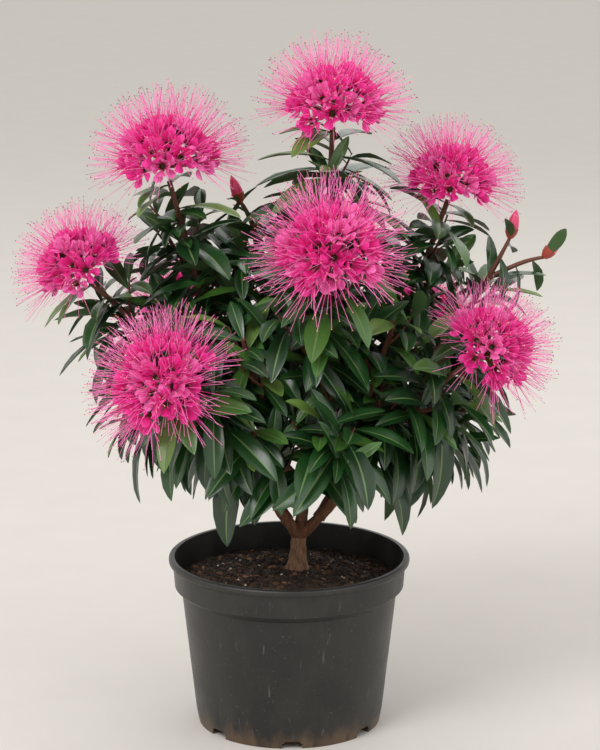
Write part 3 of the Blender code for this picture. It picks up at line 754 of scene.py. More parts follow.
BOUGHS = {
    "bough_left": LimbPlan("trunk", 0.86, (-0.025, -0.040, 0.225), 0.0046, 0.0034),
    "bough_right": LimbPlan("trunk", 0.86, (0.055, -0.030, 0.223), 0.0046, 0.0034),
    "bough_centre": LimbPlan("trunk", 0.95, (0.012, -0.022, 0.218), 0.0042, 0.0032),
    "bough_top": LimbPlan("trunk", 0.95, (0.022, 0.016, 0.272), 0.0044, 0.0033),
    "bough_upper_left": LimbPlan("bough_left", 0.25, (-0.043, 0.008, 0.268), 0.0041, 0.0032),
    "bough_side_left": LimbPlan("bough_upper_left", 0.50, (-0.064, 0.002, 0.266), 0.0032, 0.0028),
    "bough_upper_right": LimbPlan("bough_right", 0.30, (0.070, 0.020, 0.268), 0.0041, 0.0032),
    "bough_far_right": LimbPlan("bough_upper_right", 0.55, (0.101, 0.026, 0.272), 0.0032, 0.0028),
    "bough_mid_left": LimbPlan("bough_top", 0.55, (-0.004, 0.036, 0.282), 0.0031, 0.0028),
    "bough_mid_right": LimbPlan("bough_right", 0.62, (0.056, -0.022, 0.250), 0.0031, 0.0028),
    "bough_front_left": LimbPlan("bough_centre", 0.55, (-0.010, -0.032, 0.242), 0.0031, 0.0028),
    "bough_low_front": LimbPlan("bough_centre", 0.40, (0.012, -0.046, 0.212), 0.0029, 0.0026),
    "bough_back_left": LimbPlan("bough_upper_left", 0.20, (-0.038, 0.052, 0.252), 0.0034, 0.0028),
    "bough_back_right": LimbPlan("bough_upper_right", 0.22, (0.060, 0.066, 0.248), 0.0034, 0.0028),
    "bough_back": LimbPlan("bough_top", 0.25, (0.012, 0.062, 0.270), 0.0033, 0.0028),
    "bough_low_left": LimbPlan("bough_back_left", 0.45, (-0.058, 0.042, 0.228), 0.0029, 0.0026),
    "bough_low_right": LimbPlan("bough_back_right", 0.45, (0.084, 0.044, 0.226), 0.0029, 0.0026),
    "bough_low_back": LimbPlan("bough_back", 0.45, (0.018, 0.066, 0.226), 0.0029, 0.0026),
}

SHOOTS = {
    "foliage_lower_left": ShootPlan(
        "bough_left", (-0.088, -0.100, 0.302), (-0.42, -0.60, 0.68), 0.072
    ),
    "foliage_right": ShootPlan("bough_right", (0.149, -0.045, 0.319), (0.62, -0.42, 0.66), 0.064),
    "foliage_centre": ShootPlan("bough_centre", (0.032, -0.080, 0.399), (0.0, -0.62, 0.78), 0.074),
    "foliage_top": ShootPlan("bough_top", (0.035, 0.000, 0.498), (0.05, -0.26, 0.96), 0.071),
    "foliage_upper_left": ShootPlan(
        "bough_upper_left", (-0.097, 0.020, 0.452), (-0.03, -0.22, 0.97), 0.075
    ),
    "foliage_left": ShootPlan(
        "bough_side_left", (-0.162, 0.010, 0.370), (-0.42, -0.20, 0.88), 0.064
    ),
    "foliage_upper_right": ShootPlan(
        "bough_upper_right", (0.130, 0.035, 0.434), (0.14, -0.22, 0.97), 0.065
    ),
    "foliage_far_right": ShootPlan(
        "bough_far_right",
        (0.164, 0.020, 0.373),
        buds=((0.180, 0.020, 0.405), (0.208, 0.020, 0.389)),
    ),
    "foliage_mid_left": ShootPlan(
        "bough_mid_left",
        (-0.030, 0.050, 0.412),
        buds=((-0.040, 0.048, 0.430), (-0.016, 0.036, 0.405)),
    ),
    "foliage_mid_right": ShootPlan("bough_mid_right", (0.084, -0.052, 0.350)),
    "foliage_front_left": ShootPlan("bough_front_left", (-0.036, -0.062, 0.338)),
    "foliage_low_front": ShootPlan("bough_low_front", (0.030, -0.092, 0.275)),
    "foliage_back_left": ShootPlan(
        "bough_back_left", (-0.088, 0.122, 0.312), (-0.38, 0.66, 0.64), 0.066
    ),
    "foliage_back_right": ShootPlan(
        "bough_back_right", (0.108, 0.124, 0.300), (0.42, 0.66, 0.62), 0.064
    ),
    "foliage_back": ShootPlan("bough_back", (0.012, 0.128, 0.345), (0.02, 0.68, 0.72), 0.066),
    "foliage_low_left": ShootPlan("bough_low_left", (-0.140, 0.032, 0.272)),
    "foliage_low_right": ShootPlan("bough_low_right", (0.155, 0.038, 0.258)),
    "foliage_low_back": ShootPlan("bough_low_back", (0.012, 0.125, 0.268)),
}


class Limb(NamedTuple):
    """A tapering limb along a curve that leaves its start towards its bend."""

    start: Vector
    bend: Vector
    end: Vector
    base_radius: float
    tip_radius: float
    flare: float = 0.0

    def point(self, share: float) -> Vector:
        """The centre of the limb at this share of its length."""
        first = self.start.lerp(self.bend, share)
        return first.lerp(self.bend.lerp(self.end, share), share)

    def heading(self, share: float) -> Vector:
        """The way the limb grows at this share of its length."""
        return (self.bend - self.start).lerp(self.end - self.bend, share).normalized()

    def radius(self, share: float) -> float:
        """The limb's radius there, with the root flare at its foot."""
        taper = blend(self.base_radius, self.tip_radius, share)
        return taper + self.flare * math.exp(-FLARE_FADE * share)

    def span(self) -> float:
        """The distance between the limb's ends."""
        return (self.end - self.start).length


def grow_limb(start: Vector, end: Vector, base_radius: float, tip_radius: float) -> Limb:
    """A limb that leaves low and curves up to its tip.

    Args:
        start: Where the limb leaves its carrier.
        end: Its tip.
        base_radius: Its radius at the start.
        tip_radius: Its radius at the tip.

    Returns:
        The limb.
    """
    chord = end - start
    climb = UP - chord * (chord.dot(UP) / chord.length_squared)
    bend = start.lerp(end, 0.5) - climb * (LIMB_SAG * chord.length)
    return Limb(start, bend, end, base_radius, tip_radius)


def plan_limbs() -> dict[str, Limb]:
    """The trunk and every bough, worked out from what carries them.

    Returns:
        The limbs by the names of their nodes.
    """
    bend = Vector((*TRUNK_FOOT.xy, TRUNK_FOOT.lerp(TRUNK_FORK, 0.5).z))
    radii = (TRUNK_RADIUS, TRUNK_RADIUS * TRUNK_TAPER)
    limbs = {"trunk": Limb(TRUNK_FOOT, bend, TRUNK_FORK, *radii, FLARE_RADIUS)}
    for name, plan in BOUGHS.items():
        start = limbs[plan.parent].point(plan.place)
        limbs[name] = grow_limb(start, Vector(plan.tip), plan.base_radius, plan.tip_radius)
    return limbs


def leaf_half_width(share: float, width: float) -> float:
    """Half of a leaf's width at this share of its length.

    Args:
        share: How far along the leaf, from 0 to 1.
        width: The leaf's full width.

    Returns:
        Half of the width there.
    """
    power = math.log(0.5) / math.log(LEAF_WIDEST)
    swell = share**power
    return width / 2.0 * (4.0 * swell * (1.0 - swell)) ** LEAF_FULLNESS


class LeafShape(NamedTuple):
    """How one leaf stands on its branch."""

    root: Vector
    out: Vector
    face: Vector
    length: float
    droop: float
    youth: float

    def frame(self) -> tuple[Vector, Vector]:
        """The leaf's side and the normal of its upper face at its root."""
        side = self.out.cross(self.face).normalized()
        return side, side.cross(self.out).normalized()

    def rib(self, share: float) -> tuple[Vector, Vector]:
        """The point on the midrib at a share of the length, and the upper normal there.

        Args:
            share: How far along the leaf, from 0 to 1.

        Returns:
            The point and the normal.
        """
        normal = self.frame()[1]
        bent = self.droop * share
        radius = self.length / self.droop
        point = (
            self.root
            + self.out * (math.sin(bent) * radius)
            - normal * ((1.0 - math.cos(bent)) * radius)
        )
        return point, normal * math.cos(bent) + self.out * math.sin(bent)

    def sections(self) -> Sections:
        """The corner points of the folded blade that the tests use.

        Returns:
            The sections, the first and the last of one point each.
        """
        side = self.frame()[0]
        width = self.length * LEAF_WIDTH_RATIO
        sections = [[self.root]]
        for share in LEAF_STATIONS:
            rib, lift = self.rib(share)
            half = leaf_half_width(share, width)
            rise = lift * (half * math.sin(LEAF_FOLD))
            reach = side * (half * math.cos(LEAF_FOLD))
            sections.append([rib - reach + rise, rib + reach + rise, rib - lift * LEAF_THICKNESS])
        return sections + [[self.rib(1.0)[0]]]


def side_twig(root: Vector, away: Vector, length: float, foot: float, tip: float) -> Limb:
    """A twig of two radii that leaves its root one way and curves upward."""
    end = root + (away + UP * TWIG_RISE).normalized() * length
    return Limb(root, root + away * (length * TWIG_LEAD), end, foot, tip)


class Head(NamedTuple):
    """A flower head: a dome about an axis, on the end of its stem."""

    base: Vector
    axis: Vector
    reach: float

    @property
    def centre(self) -> Vector:
        """The point that the stamens spread from."""
        return self.base + self.axis * (HEAD_CENTRE_RISE * self.reach / HEAD_REACH)

    def holds(self, point: Vector) -> bool:
        """Whether a point lies among the stamens.

        Args:
            point: The point.

        Returns:
            True where a leaf would cut through the head.
        """
        arm = point - self.centre
        level = arm.dot(self.axis)
        return arm.length < self.reach * HEAD_CORE and level > HEAD_SKIRT * self.reach


class Shoot:
    """A leafy shoot: its stem and twigs, its leaves, and its flower head or buds."""

    def __init__(self, name: str, plan: ShootPlan, carrier: Limb, seed: int) -> None:
        """Set out a shoot's stem, stalks and head.

        Args:
            name: The node that the shoot stands for.
            plan: Its named sizes.
            carrier: The bough that it grows on from.
            seed: The seed of its scatter.
        """
        self.name = name
        self.seed = seed
        self.chance = random.Random(seed)
        start = carrier.end + carrier.heading(1.0) * GAP
        end = Vector(plan.tip)
        bend = start + carrier.heading(1.0) * (STEM_LEAD * (end - start).length)
        self.stem = Limb(start, bend, end, STEM_RADIUS, STEM_TIP_RADIUS)
        self.twigs: list[Limb] = []
        self.fine: list[Limb] = []
        self.stalks = [self.grow_stalk(Vector(bud)) for bud in plan.buds]
        self.leaves: list[LeafShape] = []
        self.head: Head | None = None
        if plan.head_axis:
            self.head = Head(end, Vector(plan.head_axis).normalized(), plan.head_reach)

    def grow_stalk(self, tip: Vector) -> Limb:
        """The bare twig from the end of the stem to a bud.

        Args:
            tip: Where the bud stands.

        Returns:
            The twig.
        """
        end, heading = self.stem.end, self.stem.heading(1.0)
        bend = end.lerp(tip, 0.5) + heading * (STALK_LEAD * (tip - end).length)
        return Limb(end - heading * STALK_DEPTH, bend, tip, TWIG_RADIUS, TWIG_TIP_RADIUS)

    def branches(self) -> list[Limb]:
        """The stem, the side twigs and the stalks of the buds."""
        return [self.stem, *self.twigs, *self.stalks]

    def propose_twigs(self) -> Iterator[Limb]:
        """The side twigs by rule: spaced up the stem and turned by the golden angle.

        Yields:
            Each twig in turn.
        """
        phase = self.chance.uniform(0.0, math.tau)
        count = round(self.stem.span() / TWIG_PITCH)
        for index in range(count):
            place_on_stem = (index + 0.5 * self.chance.random()) / count
            share = TWIG_FIRST + (TWIG_LAST - TWIG_FIRST) * place_on_stem
            away = turned_away(self.stem.heading(share), phase + index * GOLDEN_TURN, TWIG_SPREAD)
            length = TWIG_LENGTH * self.chance.uniform(*TWIG_SCATTER)
            yield side_twig(self.stem.point(share), away, length, TWIG_RADIUS, TWIG_TIP_RADIUS)

    def propose_leaves(self) -> Iterator[list[LeafShape]]:
        """Each leaf by rule, as the shapes that it may take, best first.

        Yields:
            The shapes of each leaf in turn.
        """
        rows = [(self.stem, round(self.stem.span() / LEAF_PITCH), STEM_FIRST_LEAF, 1.0)]
        rows += [(twig, TWIG_LEAVES, TWIG_FIRST_LEAF, 1.0) for twig in self.twigs]
        rows += [(stalk, STALK_LEAVES, STALK_FIRST_LEAF, STALK_LEAF_SIZE) for stalk in self.stalks]
        yield from self.leaf_rows(rows)

    def propose_fine_twigs(self) -> Iterator[Limb]:
        """The finer twigs, closer together on the stem, and on the side twigs too.

        Yields:
            Each twig in turn.
        """
        self.chance = random.Random(self.seed + FINE_SEED)
        phase = self.chance.uniform(0.0, math.tau)
        radii = (FINE_TWIG_RADIUS, FINE_TWIG_TIP_RADIUS)
        rows = [(self.stem, round(self.stem.span() / FINE_TWIG_PITCH))]
        rows += [(twig, FINE_TWIGS_PER_TWIG) for twig in self.twigs]
        for branch, count in rows:
            for index in range(count):
                place_on_branch = FINE_TWIG_RUN * (index + self.chance.random()) / count
                share = FINE_TWIG_FIRST + place_on_branch
                away = turned_away(branch.heading(share), phase + index * GOLDEN_TURN, TWIG_SPREAD)
                length = FINE_TWIG_LENGTH * self.chance.uniform(*FINE_TWIG_SCATTER)
                yield side_twig(branch.point(share), away, length, *radii)

    def propose_fine_leaves(self) -> Iterator[list[LeafShape]]:
        """The leaves of the finer twigs, and more along the stem.

        Yields:
            The shapes of each leaf in turn.
        """
        along_stem = round(self.stem.span() / FINE_STEM_LEAF_PITCH)
        more = (MORE_TWIG_LEAVES, MORE_FIRST_LEAF, FINE_LEAF_SIZE)
        rows = [
            (twig, FINE_TWIG_LEAVES, FINE_TWIG_FIRST_LEAF, FINE_LEAF_SIZE) for twig in self.fine
        ]
        rows.append((self.stem, along_stem, FINE_STEM_FIRST_LEAF, FINE_STEM_LEAF_SIZE))
        rows += [(twig, *more) for twig in self.twigs]
        yield from self.leaf_rows(rows)

    def leaf_rows(self, rows: list[tuple[Limb, int, float, float]]) -> Iterator[list[LeafShape]]:
        """Leaves round each branch, from its first share to its tip.

        Args:
            rows: Each branch with its count of leaves, its first share and its leaf size.

        Yields:
            The shapes that each leaf may take, best first.
        """
        for branch, count, first, size in rows:
            phase = self.chance.uniform(0.0, math.tau)
            for index in range(count):
                youth = index / (count - 1)
                share = blend(first, LAST_LEAF, youth**LEAF_CROWDING)
                yield self.leaf_shapes(branch, share, youth, phase + index * GOLDEN_TURN, size)

    def leaf_shapes(
        self, branch: Limb, share: float, youth: float, turn: float, full_size: float
    ) -> list[LeafShape]:
        """The shapes that one leaf may take.

        Args:
            branch: The branch that carries the leaf.
            share: How far along the branch it stands.
            youth: 0 for the oldest leaf of the branch, 1 for the youngest.
            turn: Its turn about the branch.
            full_size: Its size against the rule's own.

        Returns:
            The shapes, best first.
        """
        heading = branch.heading(share)
        collar = self.head is not None and branch is self.stem
        young_length = COLLAR_LENGTH if collar else YOUNG_LEAF_LENGTH
        young_spread = COLLAR_SPREAD if collar else YOUNG_SPREAD
        length = blend(OLD_LEAF_LENGTH, young_length, youth) * full_size
        length *= self.chance.uniform(*LENGTH_SCATTER)
        spread = blend(OLD_SPREAD, young_spread, youth) + self.chance.uniform(*SPREAD_SCATTER)
        droop = blend(OLD_DROOP, YOUNG_DROOP, youth) * self.chance.uniform(*DROOP_SCATTER)
        sag = blend(OLD_SAG, YOUNG_SAG, youth) * self.chance.uniform(*SAG_SCATTER)
        roll = self.chance.uniform(-LEAF_ROLL, LEAF_ROLL)
        shapes = []
        for size, swing in itertools.product(LEAF_SIZES, LEAF_SWINGS):
            away = turned_away(heading, turn + math.radians(swing), spread)
            out = (away - UP * sag).normalized()
            root = branch.point(share) - out * LEAF_ROOT_DEPTH
            outward = Vector((root.x - TRUNK_FOOT.x, root.y - TRUNK_FOOT.y, 0.0)).normalized()
            face = UP + heading * STEM_FACE + outward * OUTWARD_FACE + across(out)[0] * roll
            shapes.append(LeafShape(root, out, face, length * size, droop, youth))
        return shapes


def sleeve(limb: Limb, swell: float, sides: int = 3) -> BVHTree:
    """A plain sleeve round a limb, for the tests.

    Args:
        limb: The limb.
        swell: How far outside its skin the sleeve lies.
        sides: How many sides it has.

    Returns:
        The sleeve as a search tree.
    """
    sections = [[limb.start - limb.heading(0.0) * swell]]
    for share in STEM_RINGS:
        axes = across(limb.heading(share))
        radius = limb.radius(share) + swell
        sections.append([limb.point(share) + spoke(axes, t) * radius for t in turns_of(sides)])
    sections.append([limb.end + limb.heading(1.0) * swell])
    return BVHTree.FromPolygons(*lofted(sections))


def beside_trunk(point: Vector) -> bool:
    """Whether a point lies in the open space round the fork, where the trunk shows.

    Args:
        point: The point.

    Returns:
        True where no leaf or twig may be.
    """
    aside = point.x - TRUNK_FORK.x
    ahead = point.y - TRUNK_FORK.y
    close = math.hypot(aside, ahead) < TRUNK_CLEAR_RADIUS
    in_front = ahead < 0.0 and abs(aside) < FRONT_CLEAR_WIDTH
    return point.z < TRUNK_CLEAR_HEIGHT and (close or in_front)


class Obstacle(NamedTuple):
    """Something placed in the crown: its owner, its middle, its size and its skins."""

    owner: int
    middle: Vector
    radius: float
    whole: BVHTree
    outer: BVHTree

    def near(self, other: "Obstacle") -> bool:
        """Whether the bounding spheres of two obstacles meet."""
        return (self.middle - other.middle).length < self.radius + other.radius


def limb_obstacle(owner: int, limb: Limb, swell: float, sides: int = 3) -> Obstacle:
    """The test shape of a limb or a twig.

    Args:
        owner: The number of its shoot.
        limb: The limb.
        swell: The room kept round it.
        sides: How many sides its test shape has.

    Returns:
        The obstacle.
    """
    middle = (limb.start + limb.end) / 2.0
    reach = max((limb.point(step / 4.0) - middle).length for step in range(5))
    skin = sleeve(limb, swell, sides)
    return Obstacle(owner, middle, reach + limb.radius(0.0) + swell, skin, skin)


def leaf_obstacle(owner: int, sections: Sections) -> Obstacle:
    """The test shape of a leaf.

    Args:
        owner: The number of its shoot.
        sections: The corner points of the leaf.

    Returns:
        The obstacle. Its outer skin leaves out the root, where leaves meet.
    """
    middle = (sections[0][0] + sections[-1][0]) / 2.0
    radius = max((point - middle).length for section in sections for point in section)
    inner = [(sections[1][0] + sections[1][1]) / 2.0]
    whole = BVHTree.FromPolygons(*lofted(sections))
    outer = BVHTree.FromPolygons(*lofted([inner, *sections[1:]]))
    return Obstacle(owner, middle, radius, whole, outer)


def point_tree(rows: Sequence[tuple[Vector, int]]) -> KDTree:
    """A tree that finds the nearest of the points, each with its owner.

    Args:
        rows: Each point with its owner.

    Returns:
        The tree.
    """
    tree = KDTree(len(rows))
    for point, owner in rows:
        tree.insert(point, owner)
    tree.balance()
    return tree


class Crown:
    """The space in the crown: what each shoot may fill, and what is there already."""

    def __init__(self, shoots: list[Shoot], limbs: Sequence[Limb]) -> None:
        """Take in the shoots and the limbs that carry them.

        Args:
            shoots: The shoots, whose numbers here name them as owners.
            limbs: The trunk and the boughs.
        """
        self.shoots = shoots
        self.heads = [shoot.head for shoot in shoots if shoot.head]
        self.limbs = [limb_obstacle(NO_OWNER, limb, GAP, LIMB_SIDES) for limb in limbs]
        self.leaves: dict[tuple[int, int, int], list[Obstacle]] = {}
        self.floor = LEAF_FLOOR
        self.survey()

    def survey(self) -> None:
        """Take in the stems and twigs that the shoots have now."""
        owners = list(enumerate(self.shoots))
        rows = [
            (branch.point(step / SURVEY_STEPS), owner)
            for owner, shoot in owners
            for branch in shoot.branches()
            for step in range(SURVEY_STEPS + 1)
        ]
        self.spaces = point_tree(rows)
        self.own = [point_tree([row for row in rows if row[1] == owner]) for owner, _ in owners]
        self.sleeves = [
            limb_obstacle(owner, branch, GAP)
            for owner, shoot in owners
            for branch in shoot.branches() + shoot.fine
        ]

    def in_space(self, owner: int, point: Vector) -> bool:
        """Whether a point lies nearer to the owner's branches than to any other shoot's.

        Args:
            owner: The number of the shoot.
            point: The point.

        Returns:
            True within its space or just past the middle line.
        """
        _, found, distance = self.spaces.find(point)
        if found == owner:
            return True
        return self.own[owner].find(point)[2] < distance + SPACE_OVERLAP

    def own_space(self, owner: int, points: Sequence[Vector]) -> bool:
        """Whether points lie in the owner's space, off the pot and off the flower heads.

        Args:
            owner: The number of the shoot.
            points: The points.

        Returns:
            True if all of them do.
        """
        return all(
            point.z > self.floor
            and not beside_trunk(point)
            and self.in_space(owner, point)
            and not any(head.holds(point) for head in self.heads)
            for point in points
        )

    def admits_twig(self, owner: int, twig: Limb) -> bool:
        """Whether a side twig keeps to its shoot's space and clear of limbs and twigs.

        Args:
            owner: The number of the shoot.
            twig: The twig.

        Returns:
            True if it fits.
        """
        if not self.own_space(owner, [twig.point(share) for share in TWIG_PROBES]):
            return False
        probe = limb_obstacle(owner, twig, TWIG_CLEARANCE)
        others = self.limbs + [other for other in self.sleeves if other.owner != owner]
        return not any(probe.near(other) and probe.whole.overlap(other.whole) for other in others)

    def cells(self, leaf: Obstacle) -> list[tuple[int, int, int]]:
        """The cells of a coarse grid that a leaf's bounding sphere reaches.

        Args:
            leaf: The leaf.

        Returns:
            The cells.
        """
        low = [math.floor((value - leaf.radius) / CELL) for value in leaf.middle]
        high = [math.floor((value + leaf.radius) / CELL) for value in leaf.middle]
        return list(itertools.product(*(range(a, b + 1) for a, b in zip(low, high))))

    def admits_leaf(self, owner: int, shape: LeafShape) -> bool:
        """Whether a leaf fits. One that fits is taken in.

        Args:
            owner: The number of the shoot.
            shape: The leaf.

        Returns:
            True if it fits.
        """
        sections = shape.sections()
        if not self.own_space(owner, [point for section in sections[1:] for point in section]):
            return False
        leaf = leaf_obstacle(owner, sections)
        if any(leaf.near(limb) and leaf.whole.overlap(limb.whole) for limb in self.limbs):
            return False
        for other in self.sleeves:
            skin = leaf.outer if other.owner == owner else leaf.whole
            if leaf.near(other) and skin.overlap(other.whole):
                return False
        cells = self.cells(leaf)
        beside = {id(near): near for cell in cells for near in self.leaves.get(cell, ())}
        for near in beside.values():
            if not leaf.near(near):
                continue
            if near.owner == owner and near.outer.overlap(leaf.outer):
                return False
            if near.owner != owner and near.whole.overlap(leaf.whole):
                return False
        for cell in cells:
            self.leaves.setdefault(cell, []).append(leaf)
        return True

    def take_leaves(self, owner: int, proposals: Iterator[list[LeafShape]]) -> None:
        """Give a shoot each proposed leaf in the first shape that fits.

        Args:
            owner: The number of the shoot.
            proposals: The shapes that each leaf may take.
        """
        for shapes in proposals:
            for shape in shapes:
                if self.admits_leaf(owner, shape):
                    self.shoots[owner].leaves.append(shape)
                    break

    def clear_twigs(self, owner: int, proposals: Iterator[Limb]) -> list[Limb]:
        """Those of the proposed twigs that fit."""
        return [twig for twig in proposals if self.admits_twig(owner, twig)]

    def grow(self) -> None:
        """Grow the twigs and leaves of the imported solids, then the finer ones."""
        owners = list(enumerate(self.shoots))
        for owner, shoot in owners:
            shoot.twigs = self.clear_twigs(owner, shoot.propose_twigs())
        self.survey()
        for owner, shoot in owners:
            self.take_leaves(owner, shoot.propose_leaves())
        self.floor = FINE_LEAF_FLOOR
        for owner, shoot in owners:
            shoot.fine = self.clear_twigs(owner, shoot.propose_fine_twigs())
        self.survey()
        for owner, shoot in owners:
            self.take_leaves(owner, shoot.propose_fine_leaves())
        log.info("leaves: %d", sum(len(shoot.leaves) for shoot in self.shoots))


# ---- Leaves, twigs and bark


@dataclass
class LeafMaker:
    """Dresses each leaf shape as a fine blade with a midrib."""

    stations: tuple[float, ...] = (0.03, 0.12, 0.25, 0.40, 0.55, 0.70, 0.84, 0.94)
    petiole_half: float = 0.0008
    rib_share: float = 0.085
    groove: float = -0.00025
    bulge: float = 0.10
    thickness: float = 0.0006
    wave: float = 0.05
    wave_pace: float = 14.0
    width_scatter: tuple[float, float] = (0.84, 1.0)
    youth_weight: float = 0.75
    youth_scatter: tuple[float, float] = (-0.25, 0.45)
    aged_share: float = 0.008
    limits: tuple[float, ...] = (0.38, 0.80, 1.06)
    tints: tuple[Tint, ...] = (
        Tint.LEAF_DARK,
        Tint.LEAF_MID,
        Tint.LEAF_FRESH,
        Tint.LEAF_YOUNG,
        Tint.LEAF_AGED,
        Tint.LEAF_RIB,
        Tint.LEAF_UNDER,
    )

    def materials(self) -> list[bpy.types.Material]:
        """The slots of a piece of leaves."""
        return [material_of(tint) for tint in self.tints]

    def tint_of(self, shape: LeafShape, chance: random.Random) -> int:
        """The slot of a leaf: darker when old, fresher near the tips of the twigs.

        Args:
            shape: How the leaf stands.
            chance: The scatter of its spray.

        Returns:
            The number of the slot.
        """
        mark = shape.youth * self.youth_weight + chance.uniform(*self.youth_scatter)
        if chance.random() < self.aged_share:
            return self.tints.index(Tint.LEAF_AGED)
        return sum(mark >= limit for limit in self.limits)

    def dress(self, shape: LeafShape, skin: Skin, chance: random.Random) -> None:
        """Add one leaf to a skin.

        Args:
            shape: How the leaf stands.
            skin: The skin that takes it.
            chance: The scatter of its tint and its margin.
        """
        side = shape.frame()[0]
        width = shape.length * LEAF_WIDTH_RATIO * chance.uniform(*self.width_scatter)
        phase = chance.uniform(0.0, math.tau)
        tint = self.tint_of(shape, chance)
        fold = math.sin(LEAF_FOLD)
        sections: Sections = [[shape.root]]
        for share in self.stations:
            rib, lift = shape.rib(share)
            half = max(leaf_half_width(share, width), self.petiole_half)
            ripple = self.wave * half * math.sin(phase + share * self.wave_pace)
            reach = side * (half * math.cos(LEAF_FOLD))
            groove = lift * self.groove
            middle = lift * (half * (0.5 * fold + self.bulge))
            sections.append(
                [
                    rib - reach * 0.5 + middle,
                    rib - reach * self.rib_share + groove,
                    rib + reach * self.rib_share + groove,
                    rib + reach * 0.5 + middle,
                    rib + reach + lift * (half * fold - ripple),
                    rib - lift * self.thickness,
                    rib - reach + lift * (half * fold + ripple),
                ]
            )
        sections.append([shape.rib(1.0)[0]])
        points, faces = lofted(sections)
        rib_slot = self.tints.index(Tint.LEAF_RIB)
        under = self.tints.index(Tint.LEAF_UNDER)
        ring = itertools.cycle([tint, rib_slot, tint, tint, under, under, tint])
        skin.add(points, faces, list(itertools.islice(ring, len(faces))))


@dataclass
class Foliage:
    """All the leaves, and the twigs that carry them."""

    shoots: list[Shoot]
    full_piece: int = 144_000
    twig_sides: int = 7
    twig_ring: float = 0.006
    twig_relief: float = 0.10

    def build(self) -> None:
        """Build the leaves in pieces of a fair size, and the stems and twigs in one."""
        maker = LeafMaker()
        skin, nodes, number = Skin(), [], 1
        for shoot in self.shoots:
            if skin.triangles() > self.full_piece:
                report(skin.build(f"leaves_{number}", maker.materials()), Slot.LEAF, *nodes)
                skin, nodes, number = Skin(), [], number + 1
            chance = random.Random(shoot.seed)
            for shape in shoot.leaves:
                maker.dress(shape, skin, chance)
            nodes.append(shoot.name)
        report(skin.build(f"leaves_{number}", maker.materials()), Slot.LEAF, *nodes)
        twigs = Skin()
        look = (self.twig_sides, self.twig_ring, self.twig_relief)
        for shoot in self.shoots:
            for branch in shoot.branches() + shoot.fine:
                twigs.add(*bark_tube(branch, *look, shoot.seed))
        report(twigs.build("twigs", [material_of(Tint.TWIG)]), Slot.LEAF)


BARK_RELIEF_ROUND = 2.2
BARK_RELIEF_ALONG = 90.0
BARK_SEED_STEP = 7.0
BARK_FINE_SHARE = 0.6
BARK_FINE_SCALE = 2.7
COLLAR_FADE = -9.0


def bark_tube(
    limb: Limb, sides: int, pitch: float, relief: float, seed: int, collar: float = 0.0
) -> tuple[list[Vector], Faces]:
    """A limb with relief in its skin.

    Args:
        limb: The limb's course and radii.
        sides: How many sides it has.
        pitch: The distance between its rings.
        relief: The height of the relief as a share of the radius.
        seed: Where in the noise the relief is read.
        collar: How much thicker the limb is where it starts, as a share of the radius.

    Returns:
        The points and faces of the closed skin.
    """
    rings = max(3, round(limb.span() / pitch))
    sections: Sections = [[limb.start]]
    for ring in range(rings + 1):
        share = ring / rings
        axes = across(limb.heading(share))
        centre = limb.point(share)
        along = share * limb.span() * BARK_RELIEF_ALONG + seed * BARK_SEED_STEP
        section = []
        for turn in reversed(turns_of(sides)):
            way = spoke(axes, turn)
            spot = Vector((way.x * BARK_RELIEF_ROUND, way.y * BARK_RELIEF_ROUND, along))
            fine = BARK_FINE_SHARE * noise.noise(spot * BARK_FINE_SCALE)
            swell = 1.0 + relief * (noise.noise(spot) + fine)
            swell += collar * math.exp(COLLAR_FADE * share)
            section.append(centre + way * (limb.radius(share) * swell))
        sections.append(section)
    return lofted([*sections, [limb.end]])


@dataclass
class Limbs:
    """The trunk and the boughs in their bark."""

    limbs: dict[str, Limb]
    trunk_look: tuple[int, float, float] = (28, 0.0014, 0.16 * 1.3)
    bough_look: tuple[int, float, float] = (18, 0.0022, 0.16)
    bough_collar: float = 0.35

    def build(self) -> None:
        """Build the bark of the trunk and of the boughs, smooth all over."""
        bark = BarkFinish("trunk_bark", (0.110, 0.052, 0.026), (0.300, 0.165, 0.085))
        young = BarkFinish("bough_bark", (0.085, 0.030, 0.014), (0.190, 0.080, 0.036))
        trunk = Skin()
        trunk.add(*bark_tube(self.limbs["trunk"], *self.trunk_look, 1))
        report(trunk.build("trunk_bark", [bark.build()], SMOOTH_ALL), Slot.BARK, "trunk")
        boughs = Skin()
        for seed, name in enumerate(BOUGHS, start=2):
            boughs.add(*bark_tube(self.limbs[name], *self.bough_look, seed, self.bough_collar))
        report(boughs.build("bough_bark", [young.build()], SMOOTH_ALL), Slot.BARK, *BOUGHS)


# ---- Scattering by Geometry Nodes


